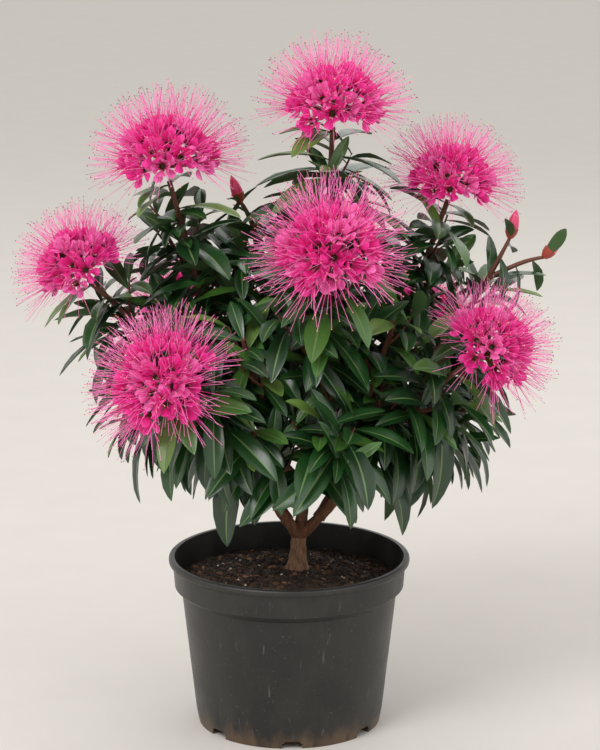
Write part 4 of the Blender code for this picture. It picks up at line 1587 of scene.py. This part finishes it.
class Scatter:
    """A Geometry Nodes tree that sets shapes on points and gives them one finish."""

    def __init__(self) -> None:
        """Build the tree with its named inputs."""
        self.tree = bpy.data.node_groups.new("scatter_shapes", "GeometryNodeTree")
        sockets = (
            ("Points", "INPUT", "NodeSocketGeometry"),
            ("Shapes", "INPUT", "NodeSocketCollection"),
            ("Finish", "INPUT", "NodeSocketMaterial"),
            ("Result", "OUTPUT", "NodeSocketGeometry"),
        )
        self.ids = {
            name: self.tree.interface.new_socket(
                name=name, in_out=side, socket_type=kind
            ).identifier
            for name, side, kind in sockets
        }
        new, link = self.tree.nodes.new, self.tree.links.new
        entry = new("NodeGroupInput")
        leave = new("NodeGroupOutput")
        source = new("GeometryNodeCollectionInfo")
        source.inputs["Separate Children"].default_value = True
        source.inputs["Reset Children"].default_value = True
        setter = new("GeometryNodeInstanceOnPoints")
        setter.inputs["Pick Instance"].default_value = True
        euler = new("FunctionNodeEulerToRotation")
        real = new("GeometryNodeRealizeInstances")
        dress = new("GeometryNodeSetMaterial")
        link(entry.outputs["Points"], setter.inputs["Points"])
        link(entry.outputs["Shapes"], source.inputs["Collection"])
        link(source.outputs[0], setter.inputs["Instance"])
        link(self.attribute("kind", "INT"), setter.inputs["Instance Index"])
        link(self.attribute("turn", "FLOAT_VECTOR"), euler.inputs[0])
        link(euler.outputs[0], setter.inputs["Rotation"])
        link(self.attribute("size", "FLOAT"), setter.inputs["Scale"])
        link(setter.outputs[0], real.inputs[0])
        link(real.outputs[0], dress.inputs["Geometry"])
        link(entry.outputs["Finish"], dress.inputs["Material"])
        link(dress.outputs[0], leave.inputs["Result"])

    def attribute(self, name: str, kind: str) -> bpy.types.NodeSocket:
        """The output of a Named Attribute node.

        Args:
            name: The attribute's name.
            kind: Its data type.

        Returns:
            The output.
        """
        node = self.tree.nodes.new("GeometryNodeInputNamedAttribute")
        node.data_type = kind
        node.inputs["Name"].default_value = name
        return node.outputs["Attribute"]

    def spread(
        self, name: str, spots: Sequence["Spot"], shapes: Sequence[Skin], finish: Tint
    ) -> bpy.types.Object:
        """Set shapes on spots.

        Args:
            name: The finished piece's name.
            spots: Where each shape stands, which way up, how large, and which one.
            shapes: The shapes to pick from.
            finish: The finish of the whole piece.

        Returns:
            The joined plain mesh.
        """
        store = bpy.data.collections.new(f"{name}_shapes")
        for index, shape in enumerate(shapes):
            mesh = bpy.data.meshes.new(f"{name}_{index:02d}")
            mesh.from_pydata(shape.points, [], shape.faces)
            store.objects.link(bpy.data.objects.new(f"{name}_{index:02d}", mesh))
        cloud = bpy.data.meshes.new(f"{name}_points")
        cloud.from_pydata([spot.place for spot in spots], [], [])
        marks = {
            "turn": ("FLOAT_VECTOR", "vector", [part for spot in spots for part in spot.turn]),
            "size": ("FLOAT", "value", [spot.size for spot in spots]),
            "kind": ("INT", "value", [spot.kind for spot in spots]),
        }
        for mark, (kind, part, values) in marks.items():
            cloud.attributes.new(mark, kind, "POINT").data.foreach_set(part, values)
        holder = placed(f"{name}_points", cloud)
        modifier = holder.modifiers.new("Scatter", "NODES")
        modifier.node_group = self.tree
        modifier[self.ids["Shapes"]] = store
        modifier[self.ids["Finish"]] = material_of(finish)
        piece = evaluated_copy(holder, name)
        for mark in marks:
            if left := piece.data.attributes.get(mark):
                piece.data.attributes.remove(left)
        for shape in list(store.objects):
            bpy.data.objects.remove(shape)
        bpy.data.collections.remove(store)
        return piece


class Spot(NamedTuple):
    """Where a scattered shape stands."""

    place: Vector
    turn: Triple
    size: float
    kind: int


def facing(axis: Vector, spin: float) -> Triple:
    """The Euler turn that brings +Z to an axis, after a spin about +Z."""
    turn = axis.to_track_quat("Z", "Y").to_matrix() @ Matrix.Rotation(spin, 3, "Z")
    return tuple(turn.to_euler())


# ---- Flower heads


@dataclass
class Floret:
    """One small flower of a head, drawn from the head's centre out along +Z."""

    seed: int
    reach: float = 0.070
    cup_foot: float = 0.0225
    cup_height: float = 0.0075
    cup_radius: float = 0.0031
    lobes: int = 5
    lobe_half: float = 0.0013
    lobe_length: float = 0.0042
    stalk_radii: tuple[float, float] = (0.0011, 0.0014)
    stalk_bend: float = 0.0008
    stalk_look: tuple[int, float, float] = (5, 0.008, 0.05)
    petals: int = 5
    petal_length: float = 0.0118
    petal_width: float = 0.0078
    petal_stations: tuple[tuple[float, float], ...] = ((0.3, 0.62), (0.62, 1.0), (0.88, 0.78))
    petal_curl: float = 0.0022
    petal_cup: float = 0.0012
    petal_thickness: float = 0.0003
    petal_nod: float = 0.0020
    petal_scatter: float = 0.15
    outer_lean: tuple[float, float] = (50.0, 80.0)
    inner_lean: tuple[float, float] = (18.0, 38.0)
    stamens: int = 23
    stamen_seed: int = 70
    stamen_spread: float = math.radians(43.0)
    stamen_polar_scatter: float = 0.06
    stamen_turn_scatter: float = 0.3
    stamen_lengths: tuple[float, float] = (0.84, 0.995)
    stamen_bow: tuple[float, float] = (-0.002, 0.0035)
    stamen_lift: tuple[float, float] = (0.0, 0.002)
    filament_radii: tuple[float, float] = (0.00021 * 1.25, 0.00021 * 0.8)
    anther_length: float = 0.0014
    anther_scatter: tuple[float, float] = (0.40, 0.62)
    anther_slimness: float = 0.55
    chance: random.Random = field(init=False)

    def __post_init__(self) -> None:
        """Seed the floret and vary how far out it stands."""
        self.chance = random.Random(self.seed)
        self.cup_foot *= self.chance.uniform(0.82, 1.15)

    def cup(self) -> Skin:
        """The bell-shaped cup with its hollow mouth.

        Returns:
            Its skin.
        """
        low, high, wide = self.cup_foot, self.cup_foot + self.cup_height, self.cup_radius
        profile = [
            (0.0, low - 0.0006),
            (wide * 0.40, low),
            (wide * 0.80, low + self.cup_height * 0.45),
            (wide, high),
            (wide * 0.82, high + 0.0002),
            (wide * 0.45, high - self.cup_height * 0.35),
            (0.0, high - self.cup_height * 0.30),
        ]
        skin = Skin()
        skin.add(*lathe(profile, 8))
        return skin

    def calyx(self) -> Skin:
        """The pointed lobes round the cup.

        Returns:
            Their skin.
        """
        skin = Skin()
        high = self.cup_foot + self.cup_height * 0.6
        for index in range(self.lobes):
            out = on_circle(1.0, math.tau * (index + 0.5) / self.lobes)
            side = Vector((-out.y, out.x, 0.0)) * self.lobe_half
            foot = out * (self.cup_radius * 0.92) + UP * high
            tip = out * (self.cup_radius * 1.7) + UP * (high + self.lobe_length)
            inner = foot - out * 0.0006 + UP * 0.0004
            points = [foot - side, foot + side, inner, tip]
            skin.add(points, [(0, 1, 3), (1, 2, 3), (2, 0, 3), (0, 2, 1)])
        return skin

    def stalk(self) -> Skin:
        """The short stalk from the head's centre to the cup.

        Returns:
            Its skin.
        """
        bend = Vector((self.stalk_bend, 0.0, self.cup_foot * 0.5))
        limb = Limb(Vector(), bend, UP * self.cup_foot, *self.stalk_radii)
        skin = Skin()
        skin.add(*bark_tube(limb, *self.stalk_look, self.seed))
        return skin

    def petal_ring(self) -> Skin:
        """The rounded petals at the mouth of the cup: an outer ring, and an inner one between.

        Returns:
            Their skin.
        """
        skin = Skin()
        high = self.cup_foot + self.cup_height
        for index in range(2 * self.petals):
            inner = index >= self.petals
            scatter = self.chance.uniform(-self.petal_scatter, self.petal_scatter)
            place = index + 0.5 * inner + scatter
            leans = self.inner_lean if inner else self.outer_lean
            lean = math.radians(self.chance.uniform(*leans))
            flat = on_circle(1.0, math.tau * place / self.petals)
            side = Vector((-flat.y, flat.x, 0.0))
            out = flat * math.sin(lean) + UP * math.cos(lean)
            face = out.cross(side).normalized() * -1.0
            root = flat * (self.cup_radius * 0.9) + UP * high
            sections: Sections = [[root]]
            for share, wide in self.petal_stations:
                half = side * (self.petal_width * wide / 2.0)
                curl = face * (self.petal_curl * share * share)
                rib = root + out * (self.petal_length * share) - curl
                cup = face * (self.petal_cup * wide)
                back = rib - face * self.petal_thickness
                sections.append([rib - half + cup, back, rib + half + cup])
            sections.append([root + out * self.petal_length - face * self.petal_nod])
            skin.add(*lofted(sections))
        return skin

    def stamen_lines(self) -> list[tuple[Vector, Vector, Vector]]:
        """Each stamen as its foot, its bend and its tip.

        Returns:
            The three points of each.
        """
        chance = random.Random(self.seed + self.stamen_seed)
        polar_scatter, turn_scatter = self.stamen_polar_scatter, self.stamen_turn_scatter
        lines = []
        rim = self.cup_foot + self.cup_height
        for index in range(self.stamens):
            share = (index + 0.5) / self.stamens
            polar = self.stamen_spread * math.sqrt(share)
            polar += chance.uniform(-polar_scatter, polar_scatter)
            turn = index * GOLDEN_TURN + chance.uniform(-turn_scatter, turn_scatter)
            flat = on_circle(1.0, turn)
            foot = flat * (self.cup_radius * 0.85) + UP * rim
            way = flat * math.sin(polar) + UP * math.cos(polar)
            span = self.reach * chance.uniform(*self.stamen_lengths)
            along = foot.dot(way)
            length = -along + math.sqrt(along * along - foot.length_squared + span * span)
            tip = foot + way * length
            bow = flat * chance.uniform(*self.stamen_bow) + UP * chance.uniform(*self.stamen_lift)
            lines.append((foot, foot.lerp(tip, 0.5) + bow, tip))
        return lines

    def filaments(self, first: float, last: float) -> Skin:
        """The stretch of every filament between two shares of its length.

        Args:
            first: The share at which the stretch starts.
            last: The share at which it ends.

        Returns:
            Their skin.
        """
        skin = Skin()
        turns = (0.0, -math.tau / 3.0, math.tau / 3.0)
        for foot, bend, tip in self.stamen_lines():
            limb = Limb(foot, bend, tip, *self.filament_radii)
            sections: Sections = [[limb.point(first)]]
            for share in (first, (first + last) / 2.0, last):
                axes = across(limb.heading(share))
                radius = limb.radius(share)
                sections.append([limb.point(share) + spoke(axes, turn) * radius for turn in turns])
            sections.append([limb.point(last)])
            skin.add(*lofted(sections))
        return skin

    def anthers(self) -> Skin:
        """The small anther on the tip of every filament.

        Returns:
            Their skin.
        """
        skin = Skin()
        for foot, bend, tip in self.stamen_lines():
            side, other = across((tip - bend).normalized())
            half = self.anther_length * self.chance.uniform(*self.anther_scatter)
            wide = half * self.anther_slimness
            along = (tip - foot).normalized() * wide
            waist = [tip + other * wide, tip + along, tip - other * wide, tip - along]
            faces = [(2, 1, 0), (3, 2, 0), (4, 3, 0), (1, 4, 0)]
            faces += [(1, 2, 5), (2, 3, 5), (3, 4, 5), (4, 1, 5)]
            skin.add([tip - side * half, *waist, tip + side * half], faces)
        return skin


@dataclass
class Blossom:
    """The flower heads: florets set round each head's centre."""

    heads: list[Head]
    florets: int = 25
    kinds: int = 6
    first_seed: int = 900
    pale_every: int = 3
    underside: float = math.radians(86.0)
    polar_scatter: float = 0.06
    turn_scatter: float = 0.12
    size_scatter: tuple[float, float] = (0.94, 1.0)
    scatter: Scatter = field(default_factory=Scatter)

    def spots(self) -> list[Spot]:
        """Where each floret stands, evenly over the dome of its head.

        Returns:
            A spot for each floret.
        """
        spots = []
        span = 1.0 - math.cos(self.underside)
        for seed, head in enumerate(self.heads, start=self.first_seed):
            chance = random.Random(seed)
            for index in range(self.florets):
                polar = math.acos(1.0 - span * (index + 0.4) / self.florets)
                polar += chance.uniform(-self.polar_scatter, self.polar_scatter)
                turn = index * GOLDEN_TURN + chance.uniform(-self.turn_scatter, self.turn_scatter)
                way = turned_away(head.axis, turn, polar).normalized()
                size = head.reach / Floret.reach * chance.uniform(*self.size_scatter)
                kind = chance.randrange(self.kinds)
                stand = facing(way, chance.uniform(0.0, math.tau))
                spots.append(Spot(head.centre, stand, size, kind))
        return spots

    def build(self) -> None:
        """Build each kind of flower part as one piece."""
        florets = [Floret(50 + index) for index in range(self.kinds)]
        spots = self.spots()
        pale = spots[:: self.pale_every]
        deep = [spot for index, spot in enumerate(spots) if index % self.pale_every]
        parts = [
            ("flower_cups", spots, [f.cup() for f in florets], Tint.CUP),
            ("flower_calyxes", spots, [f.calyx() for f in florets], Tint.CALYX),
            ("flower_stalks", spots, [f.stalk() for f in florets], Tint.STALK),
            ("petals", deep, [f.petal_ring() for f in florets], Tint.PETAL),
            ("petals_pale", pale, [f.petal_ring() for f in florets], Tint.PETAL_PALE),
            ("filament_feet", spots, [f.filaments(0.0, 0.5) for f in florets], Tint.FILAMENT),
            ("filaments", spots, [f.filaments(0.5, 1.0) for f in florets], Tint.FILAMENT_PALE),
            ("anthers", deep, [f.anthers() for f in florets], Tint.ANTHER),
            ("anthers_cream", pale, [f.anthers() for f in florets], Tint.ANTHER_CREAM),
        ]
        for name, places, shapes, tint in parts:
            report(self.scatter.spread(name, places, shapes, tint), Slot.BLOSSOM)


@dataclass
class Buds:
    """The pointed buds on their stalks."""

    shoots: list[Shoot]
    length: float = 0.024
    radius: float = 0.0050
    sides: int = 10
    bud: tuple[tuple[float, float], ...] = (
        (0.0, 0.001),
        (0.72, 0.16),
        (1.0, 0.42),
        (0.80, 0.66),
        (0.40, 0.88),
        (0.0, 1.0),
    )
    calyx: tuple[tuple[float, float], ...] = (
        (0.0, -0.04),
        (0.52, 0.0),
        (0.95, 0.16),
        (1.10, 0.34),
        (0.98, 0.36),
        (0.0, 0.30),
    )

    def build(self) -> None:
        """Build the pink buds and their calyxes."""
        stalks = [stalk for shoot in self.shoots for stalk in shoot.stalks]
        rows = (("buds", self.bud, Tint.BUD), ("bud_calyxes", self.calyx, Tint.CALYX))
        for name, shape, tint in rows:
            skin = Skin()
            profile = [(r * self.radius, z * self.length) for r, z in shape]
            points, faces = lathe(profile, self.sides)
            for stalk in stalks:
                axis = (stalk.heading(1.0) + UP).normalized()
                upright = axis.to_track_quat("Z", "Y").to_matrix().to_4x4()
                stand = Matrix.Translation(stalk.end) @ upright
                skin.add([stand @ point for point in points], faces)
            report(skin.build(name, [material_of(tint)]), Slot.BLOSSOM)


# ---- Pot and potting mix


@dataclass
class Pot:
    """The nursery pot: a turned shell with a lip, a band and drainage notches."""

    height: float = 0.142
    wall: float = 0.0018
    floor: float = 0.0022
    steps: int = 128
    stations: tuple[tuple[float, float], ...] = (
        (0.0, 0.0760),
        (0.012, 0.0782),
        (0.112, 0.0893),
        (0.1175, 0.0952),
        (0.142, 0.0970),
    )
    lip_radius: float = 0.1000
    lip_height: float = 0.0055
    lip_round: float = 0.0020
    lip_steps: int = 6
    notches: int = 7
    notch_phase: float = math.radians(-88.0)
    notch_size: Triple = (0.020, 0.0165, 0.0130)
    notch_round: float = 0.0020

    def wall_radius(self, height: float) -> float:
        """The outer radius of the wall at a height, without the lip.

        Args:
            height: The height over the ground.

        Returns:
            The radius.
        """
        for (low, low_radius), (high, high_radius) in zip(self.stations, self.stations[1:]):
            if height <= high:
                return blend(low_radius, high_radius, (height - low) / (high - low))
        return self.stations[-1][1]

    def profile(self) -> list[tuple[float, float]]:
        """The section of the shell, from under the middle of its floor round to the inside.

        Returns:
            Its (radius, height) points.
        """
        lip_centre = self.lip_radius - self.lip_round
        lip_foot = self.height - self.lip_height
        rounds = []
        corners = ((lip_foot + self.lip_round, -90.0), (self.height - self.lip_round, 0.0))
        for centre, first in corners:
            for step in range(self.lip_steps):
                turn = math.radians(first + 90.0 * step / (self.lip_steps - 1))
                out, up = self.lip_round * math.cos(turn), self.lip_round * math.sin(turn)
                rounds.append((lip_centre + out, centre + up))
        outside = [(radius, z) for z, radius in self.stations[:-1]]
        inner = [z for z, _ in self.stations if self.floor < z < self.height]
        inside = [(self.wall_radius(z) - self.wall, z) for z in [self.height, *reversed(inner)]]
        return (
            [(0.0, 0.0)]
            + outside
            + [(self.wall_radius(lip_foot), lip_foot)]
            + rounds
            + inside
            + [(self.wall_radius(self.floor) - self.wall, self.floor), (0.0, self.floor)]
        )

    def build(self) -> None:
        """Turn the shell, cut its notches and dress it."""
        skin = Skin()
        skin.add(*lathe(self.profile(), self.steps))
        shell = skin.build("pot_blank", [PotFinish().build()])
        cutters = []
        for index in range(self.notches):
            shape = bmesh.new()
            bmesh.ops.create_cube(shape, size=1.0, matrix=Matrix.Diagonal((*self.notch_size, 1.0)))
            bmesh.ops.bevel(
                shape, geom=list(shape.edges), offset=self.notch_round, segments=3, affect="EDGES"
            )
            turn = self.notch_phase + math.tau * index / self.notches
            spot = Matrix.Translation(on_circle(self.stations[0][1], turn))
            stand = spot @ Matrix.Rotation(turn, 4, "Z")
            bmesh.ops.transform(shape, matrix=stand, verts=shape.verts)
            mesh = bpy.data.meshes.new("notch")
            shape.to_mesh(mesh)
            shape.free()
            cutters.append(placed("notch", mesh))
            cut = shell.modifiers.new("Notch", "BOOLEAN")
            cut.operation = "DIFFERENCE"
            cut.object = cutters[-1]
        pot = evaluated_copy(shell, "nursery_pot")
        for cutter in cutters:
            bpy.data.objects.remove(cutter)
        report(pot, Slot.POT, "pot")


class Litter(NamedTuple):
    """One kind of lump on the mix: its half lengths, its proportions and its finish."""

    name: str
    count: int
    sizes: tuple[float, float]
    flat: Triple
    finish: Tint


@dataclass
class PottingMix:
    """The surface of the mix in the pot, with chips, crumbs and perlite on it."""

    pot: Pot
    edge_height: float = 0.120
    crown_height: float = 0.130
    seat: float = 0.022
    rings: int = 44
    steps: int = 150
    relief: float = 0.0030
    bumps: tuple[Triple, ...] = ((0.45, 55.0, 3.0), (0.40, 210.0, 8.0), (0.2, 520.0, 5.0))
    sink: float = 0.0006
    calm_radius: float = 0.008
    calm_reach: float = 0.02
    calm_least: float = 0.25
    depth: float = 0.020
    lump_kinds: int = 5
    lump_scatter: tuple[float, float] = (0.75, 1.15)
    tilt: float = 0.25
    nestle: float = 0.3
    litter: tuple[Litter, ...] = (
        Litter("mix_crumbs", 1700, (0.0009, 0.0028), (1.0, 1.0, 0.8), Tint.CRUMB),
        Litter("bark_chips", 300, (0.0024, 0.0062), (1.0, 0.45, 0.22), Tint.CHIP),
        Litter("bark_chips_pale", 110, (0.0022, 0.0055), (1.0, 0.4, 0.2), Tint.CHIP_PALE),
        Litter("perlite", 46, (0.0009, 0.0019), (1.0, 0.9, 0.8), Tint.PERLITE),
    )
    scatter: Scatter = field(default_factory=Scatter)

    def edge(self) -> float:
        """The radius at which the mix meets the wall."""
        return self.pot.wall_radius(self.edge_height) - self.pot.wall - GAP

    def level(self, x: float, y: float) -> float:
        """The height of the mix over a point, calmer close to the trunk.

        Args:
            x: Where it is read.
            y: Where it is read.

        Returns:
            The height.
        """
        radius = math.hypot(x, y)
        share = min(1.0, max(0.0, (radius - self.seat) / (self.edge() - self.seat)))
        fall = (1.0 - math.cos(math.pi * share)) / 2.0
        base = blend(self.crown_height, self.edge_height, fall)
        settle = min(1.0, max(self.calm_least, (radius - self.calm_radius) / self.calm_reach))
        rough = sum(
            weight * noise.noise(Vector((x * scale, y * scale, layer)))
            for weight, scale, layer in self.bumps
        )
        return base + self.relief * settle * rough - self.sink

    def build(self) -> None:
        """Build the surface and what lies on it."""
        skin = Skin()
        sections: Sections = [[UP * self.level(0.0, 0.0)]]
        turns = turns_of(self.steps)
        for ring in range(1, self.rings + 1):
            radius = self.edge() * ring / self.rings
            spots = [(radius * math.cos(t), radius * math.sin(t)) for t in turns]
            sections.append([Vector((x, y, self.level(x, y))) for x, y in spots])
        low = self.edge_height - self.depth
        inner = [z for z, _ in reversed(self.pot.stations) if low < z < self.edge_height - 0.001]
        for height in [*inner, low]:
            foot = self.pot.wall_radius(height) - self.pot.wall - GAP
            sections.append([on_circle(foot, t, height) for t in turns])
        sections.append([UP * low])
        skin.add(*lofted(sections))
        surface = skin.build("mix_surface", [MixFinish().build()], SMOOTH_LUMPS)
        report(surface, Slot.MIX, "potting_mix")
        for seed, litter in enumerate(self.litter, start=1):
            self.strew(litter, seed)

    def strew(self, litter: Litter, seed: int) -> None:
        """Strew one kind of lump over the mix.

        Args:
            litter: The kind of lump.
            seed: The seed of its scatter.
        """
        chance = random.Random(seed)
        small, large = litter.sizes
        spots = []
        for _ in range(litter.count):
            radius = (self.edge() - large) * math.sqrt(chance.random())
            turn = chance.uniform(0.0, math.tau)
            x, y = radius * math.cos(turn), radius * math.sin(turn)
            size = blend(small, large, chance.random() ** 2)
            lean = Vector((chance.gauss(0, self.tilt), chance.gauss(0, self.tilt), 1.0))
            place = Vector((x, y, self.level(x, y) + size * litter.flat[2] * self.nestle))
            stand = facing(lean.normalized(), chance.uniform(0.0, math.tau))
            spots.append(Spot(place, stand, size, chance.randrange(self.lump_kinds)))
        seeds = range(seed * 10, seed * 10 + self.lump_kinds)
        shapes = [self.lump(litter.flat, random.Random(own)) for own in seeds]
        report(self.scatter.spread(litter.name, spots, shapes, litter.finish), Slot.MIX)

    def lump(self, flat: Triple, chance: random.Random) -> Skin:
        """A small rough lump of unit half length.

        Args:
            flat: Its proportions.
            chance: Its scatter.

        Returns:
            Its skin.
        """
        shape = bmesh.new()
        bmesh.ops.create_icosphere(shape, subdivisions=1, radius=1.0)
        for vertex in shape.verts:
            vertex.co *= chance.uniform(*self.lump_scatter)
            vertex.co = Vector(value * share for value, share in zip(vertex.co, flat))
        skin = Skin()
        points = [vertex.co.copy() for vertex in shape.verts]
        skin.add(points, [tuple(v.index for v in face.verts) for face in shape.faces])
        shape.free()
        return skin


# ---- Studio


class Lamp(NamedTuple):
    """A soft square light: its name, its place, its size and its power."""

    name: str
    place: Triple
    size: float
    power: float


@dataclass
class Studio:
    """Pale floor, soft light and the camera at the photograph's angle."""

    lens: float = 120.0
    sensor: float = 36.0
    far: float = 60.0
    place: Triple = (0.009, -1.99, 0.758)
    pitch: float = math.radians(76.9)
    aim: Triple = (0.0, 0.0, 0.28)
    corners: tuple[tuple[float, float], ...] = ((-14, -10), (14, -10), (14, 24), (-14, 24))
    floor_dark: Colour = (0.60, 0.57, 0.53)
    floor_light: Colour = (0.65, 0.62, 0.58)
    sky: Colour = (1.0, 0.985, 0.96)
    sky_strength: float = 0.88
    lamps: tuple[Lamp, ...] = (
        Lamp("key", (-1.3, -1.7, 2.3), 1.2, 46.0),
        Lamp("fill", (1.9, -1.4, 1.3), 1.8, 10.0),
        Lamp("back", (0.6, 1.6, 1.9), 1.4, 10.0),
    )

    def build(self) -> None:
        """Set out the floor, the lights, the world and the camera."""
        scene = bpy.context.scene
        shader = Shader("floor_plaster", self.floor_dark, 0.85)
        grain = shader.noise(14.0, 6.0)
        shader.set("Base Color", shader.mix(grain, self.floor_dark, self.floor_light))
        skin = Skin()
        skin.add([Vector((x, y, 0.0)) for x, y in self.corners], [(0, 1, 2, 3)])
        floor = skin.build("studio_floor", [shader.material])
        floor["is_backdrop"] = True
        camera = bpy.data.cameras.new("camera")
        camera.lens = self.lens
        camera.sensor_width = self.sensor
        camera.clip_end = self.far
        scene.camera = placed("camera", camera)
        scene.camera.location = self.place
        scene.camera.rotation_euler = (self.pitch, 0.0, 0.0)
        scene.view_settings.view_transform = "Standard"
        for lamp in self.lamps:
            light = bpy.data.lights.new(lamp.name, "AREA")
            light.size = lamp.size
            light.energy = lamp.power
            holder = placed(lamp.name, light)
            holder.location = lamp.place
            way = Vector(self.aim) - Vector(lamp.place)
            holder.rotation_euler = way.to_track_quat("-Z", "Y").to_euler()
        scene.world = bpy.data.worlds.new("studio")
        scene.world.use_nodes = True
        background = scene.world.node_tree.nodes["Background"]
        background.inputs["Color"].default_value = (*self.sky, 1.0)
        background.inputs["Strength"].default_value = self.sky_strength


def main() -> None:
    """Build the pot, the mix, the limbs, the foliage, the blossom and the studio."""
    logging.basicConfig(level=logging.INFO, format="%(message)s")
    limbs = plan_limbs()
    shoots = [
        Shoot(name, plan, limbs[plan.bough], seed)
        for seed, (name, plan) in enumerate(SHOOTS.items(), start=FIRST_SEED)
    ]
    Crown(shoots, list(limbs.values())).grow()
    pot = Pot()
    pot.build()
    PottingMix(pot).build()
    Limbs(limbs).build()
    Foliage(shoots).build()
    Blossom([shoot.head for shoot in shoots if shoot.head]).build()
    Buds(shoots).build()
    Studio().build()
    boxes = {"cad": CAD_BOX, "visual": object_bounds()}
    sizes = {name: [[float(v) for v in corner] for corner in box] for name, box in boxes.items()}


if __name__ == "__main__":
    main()
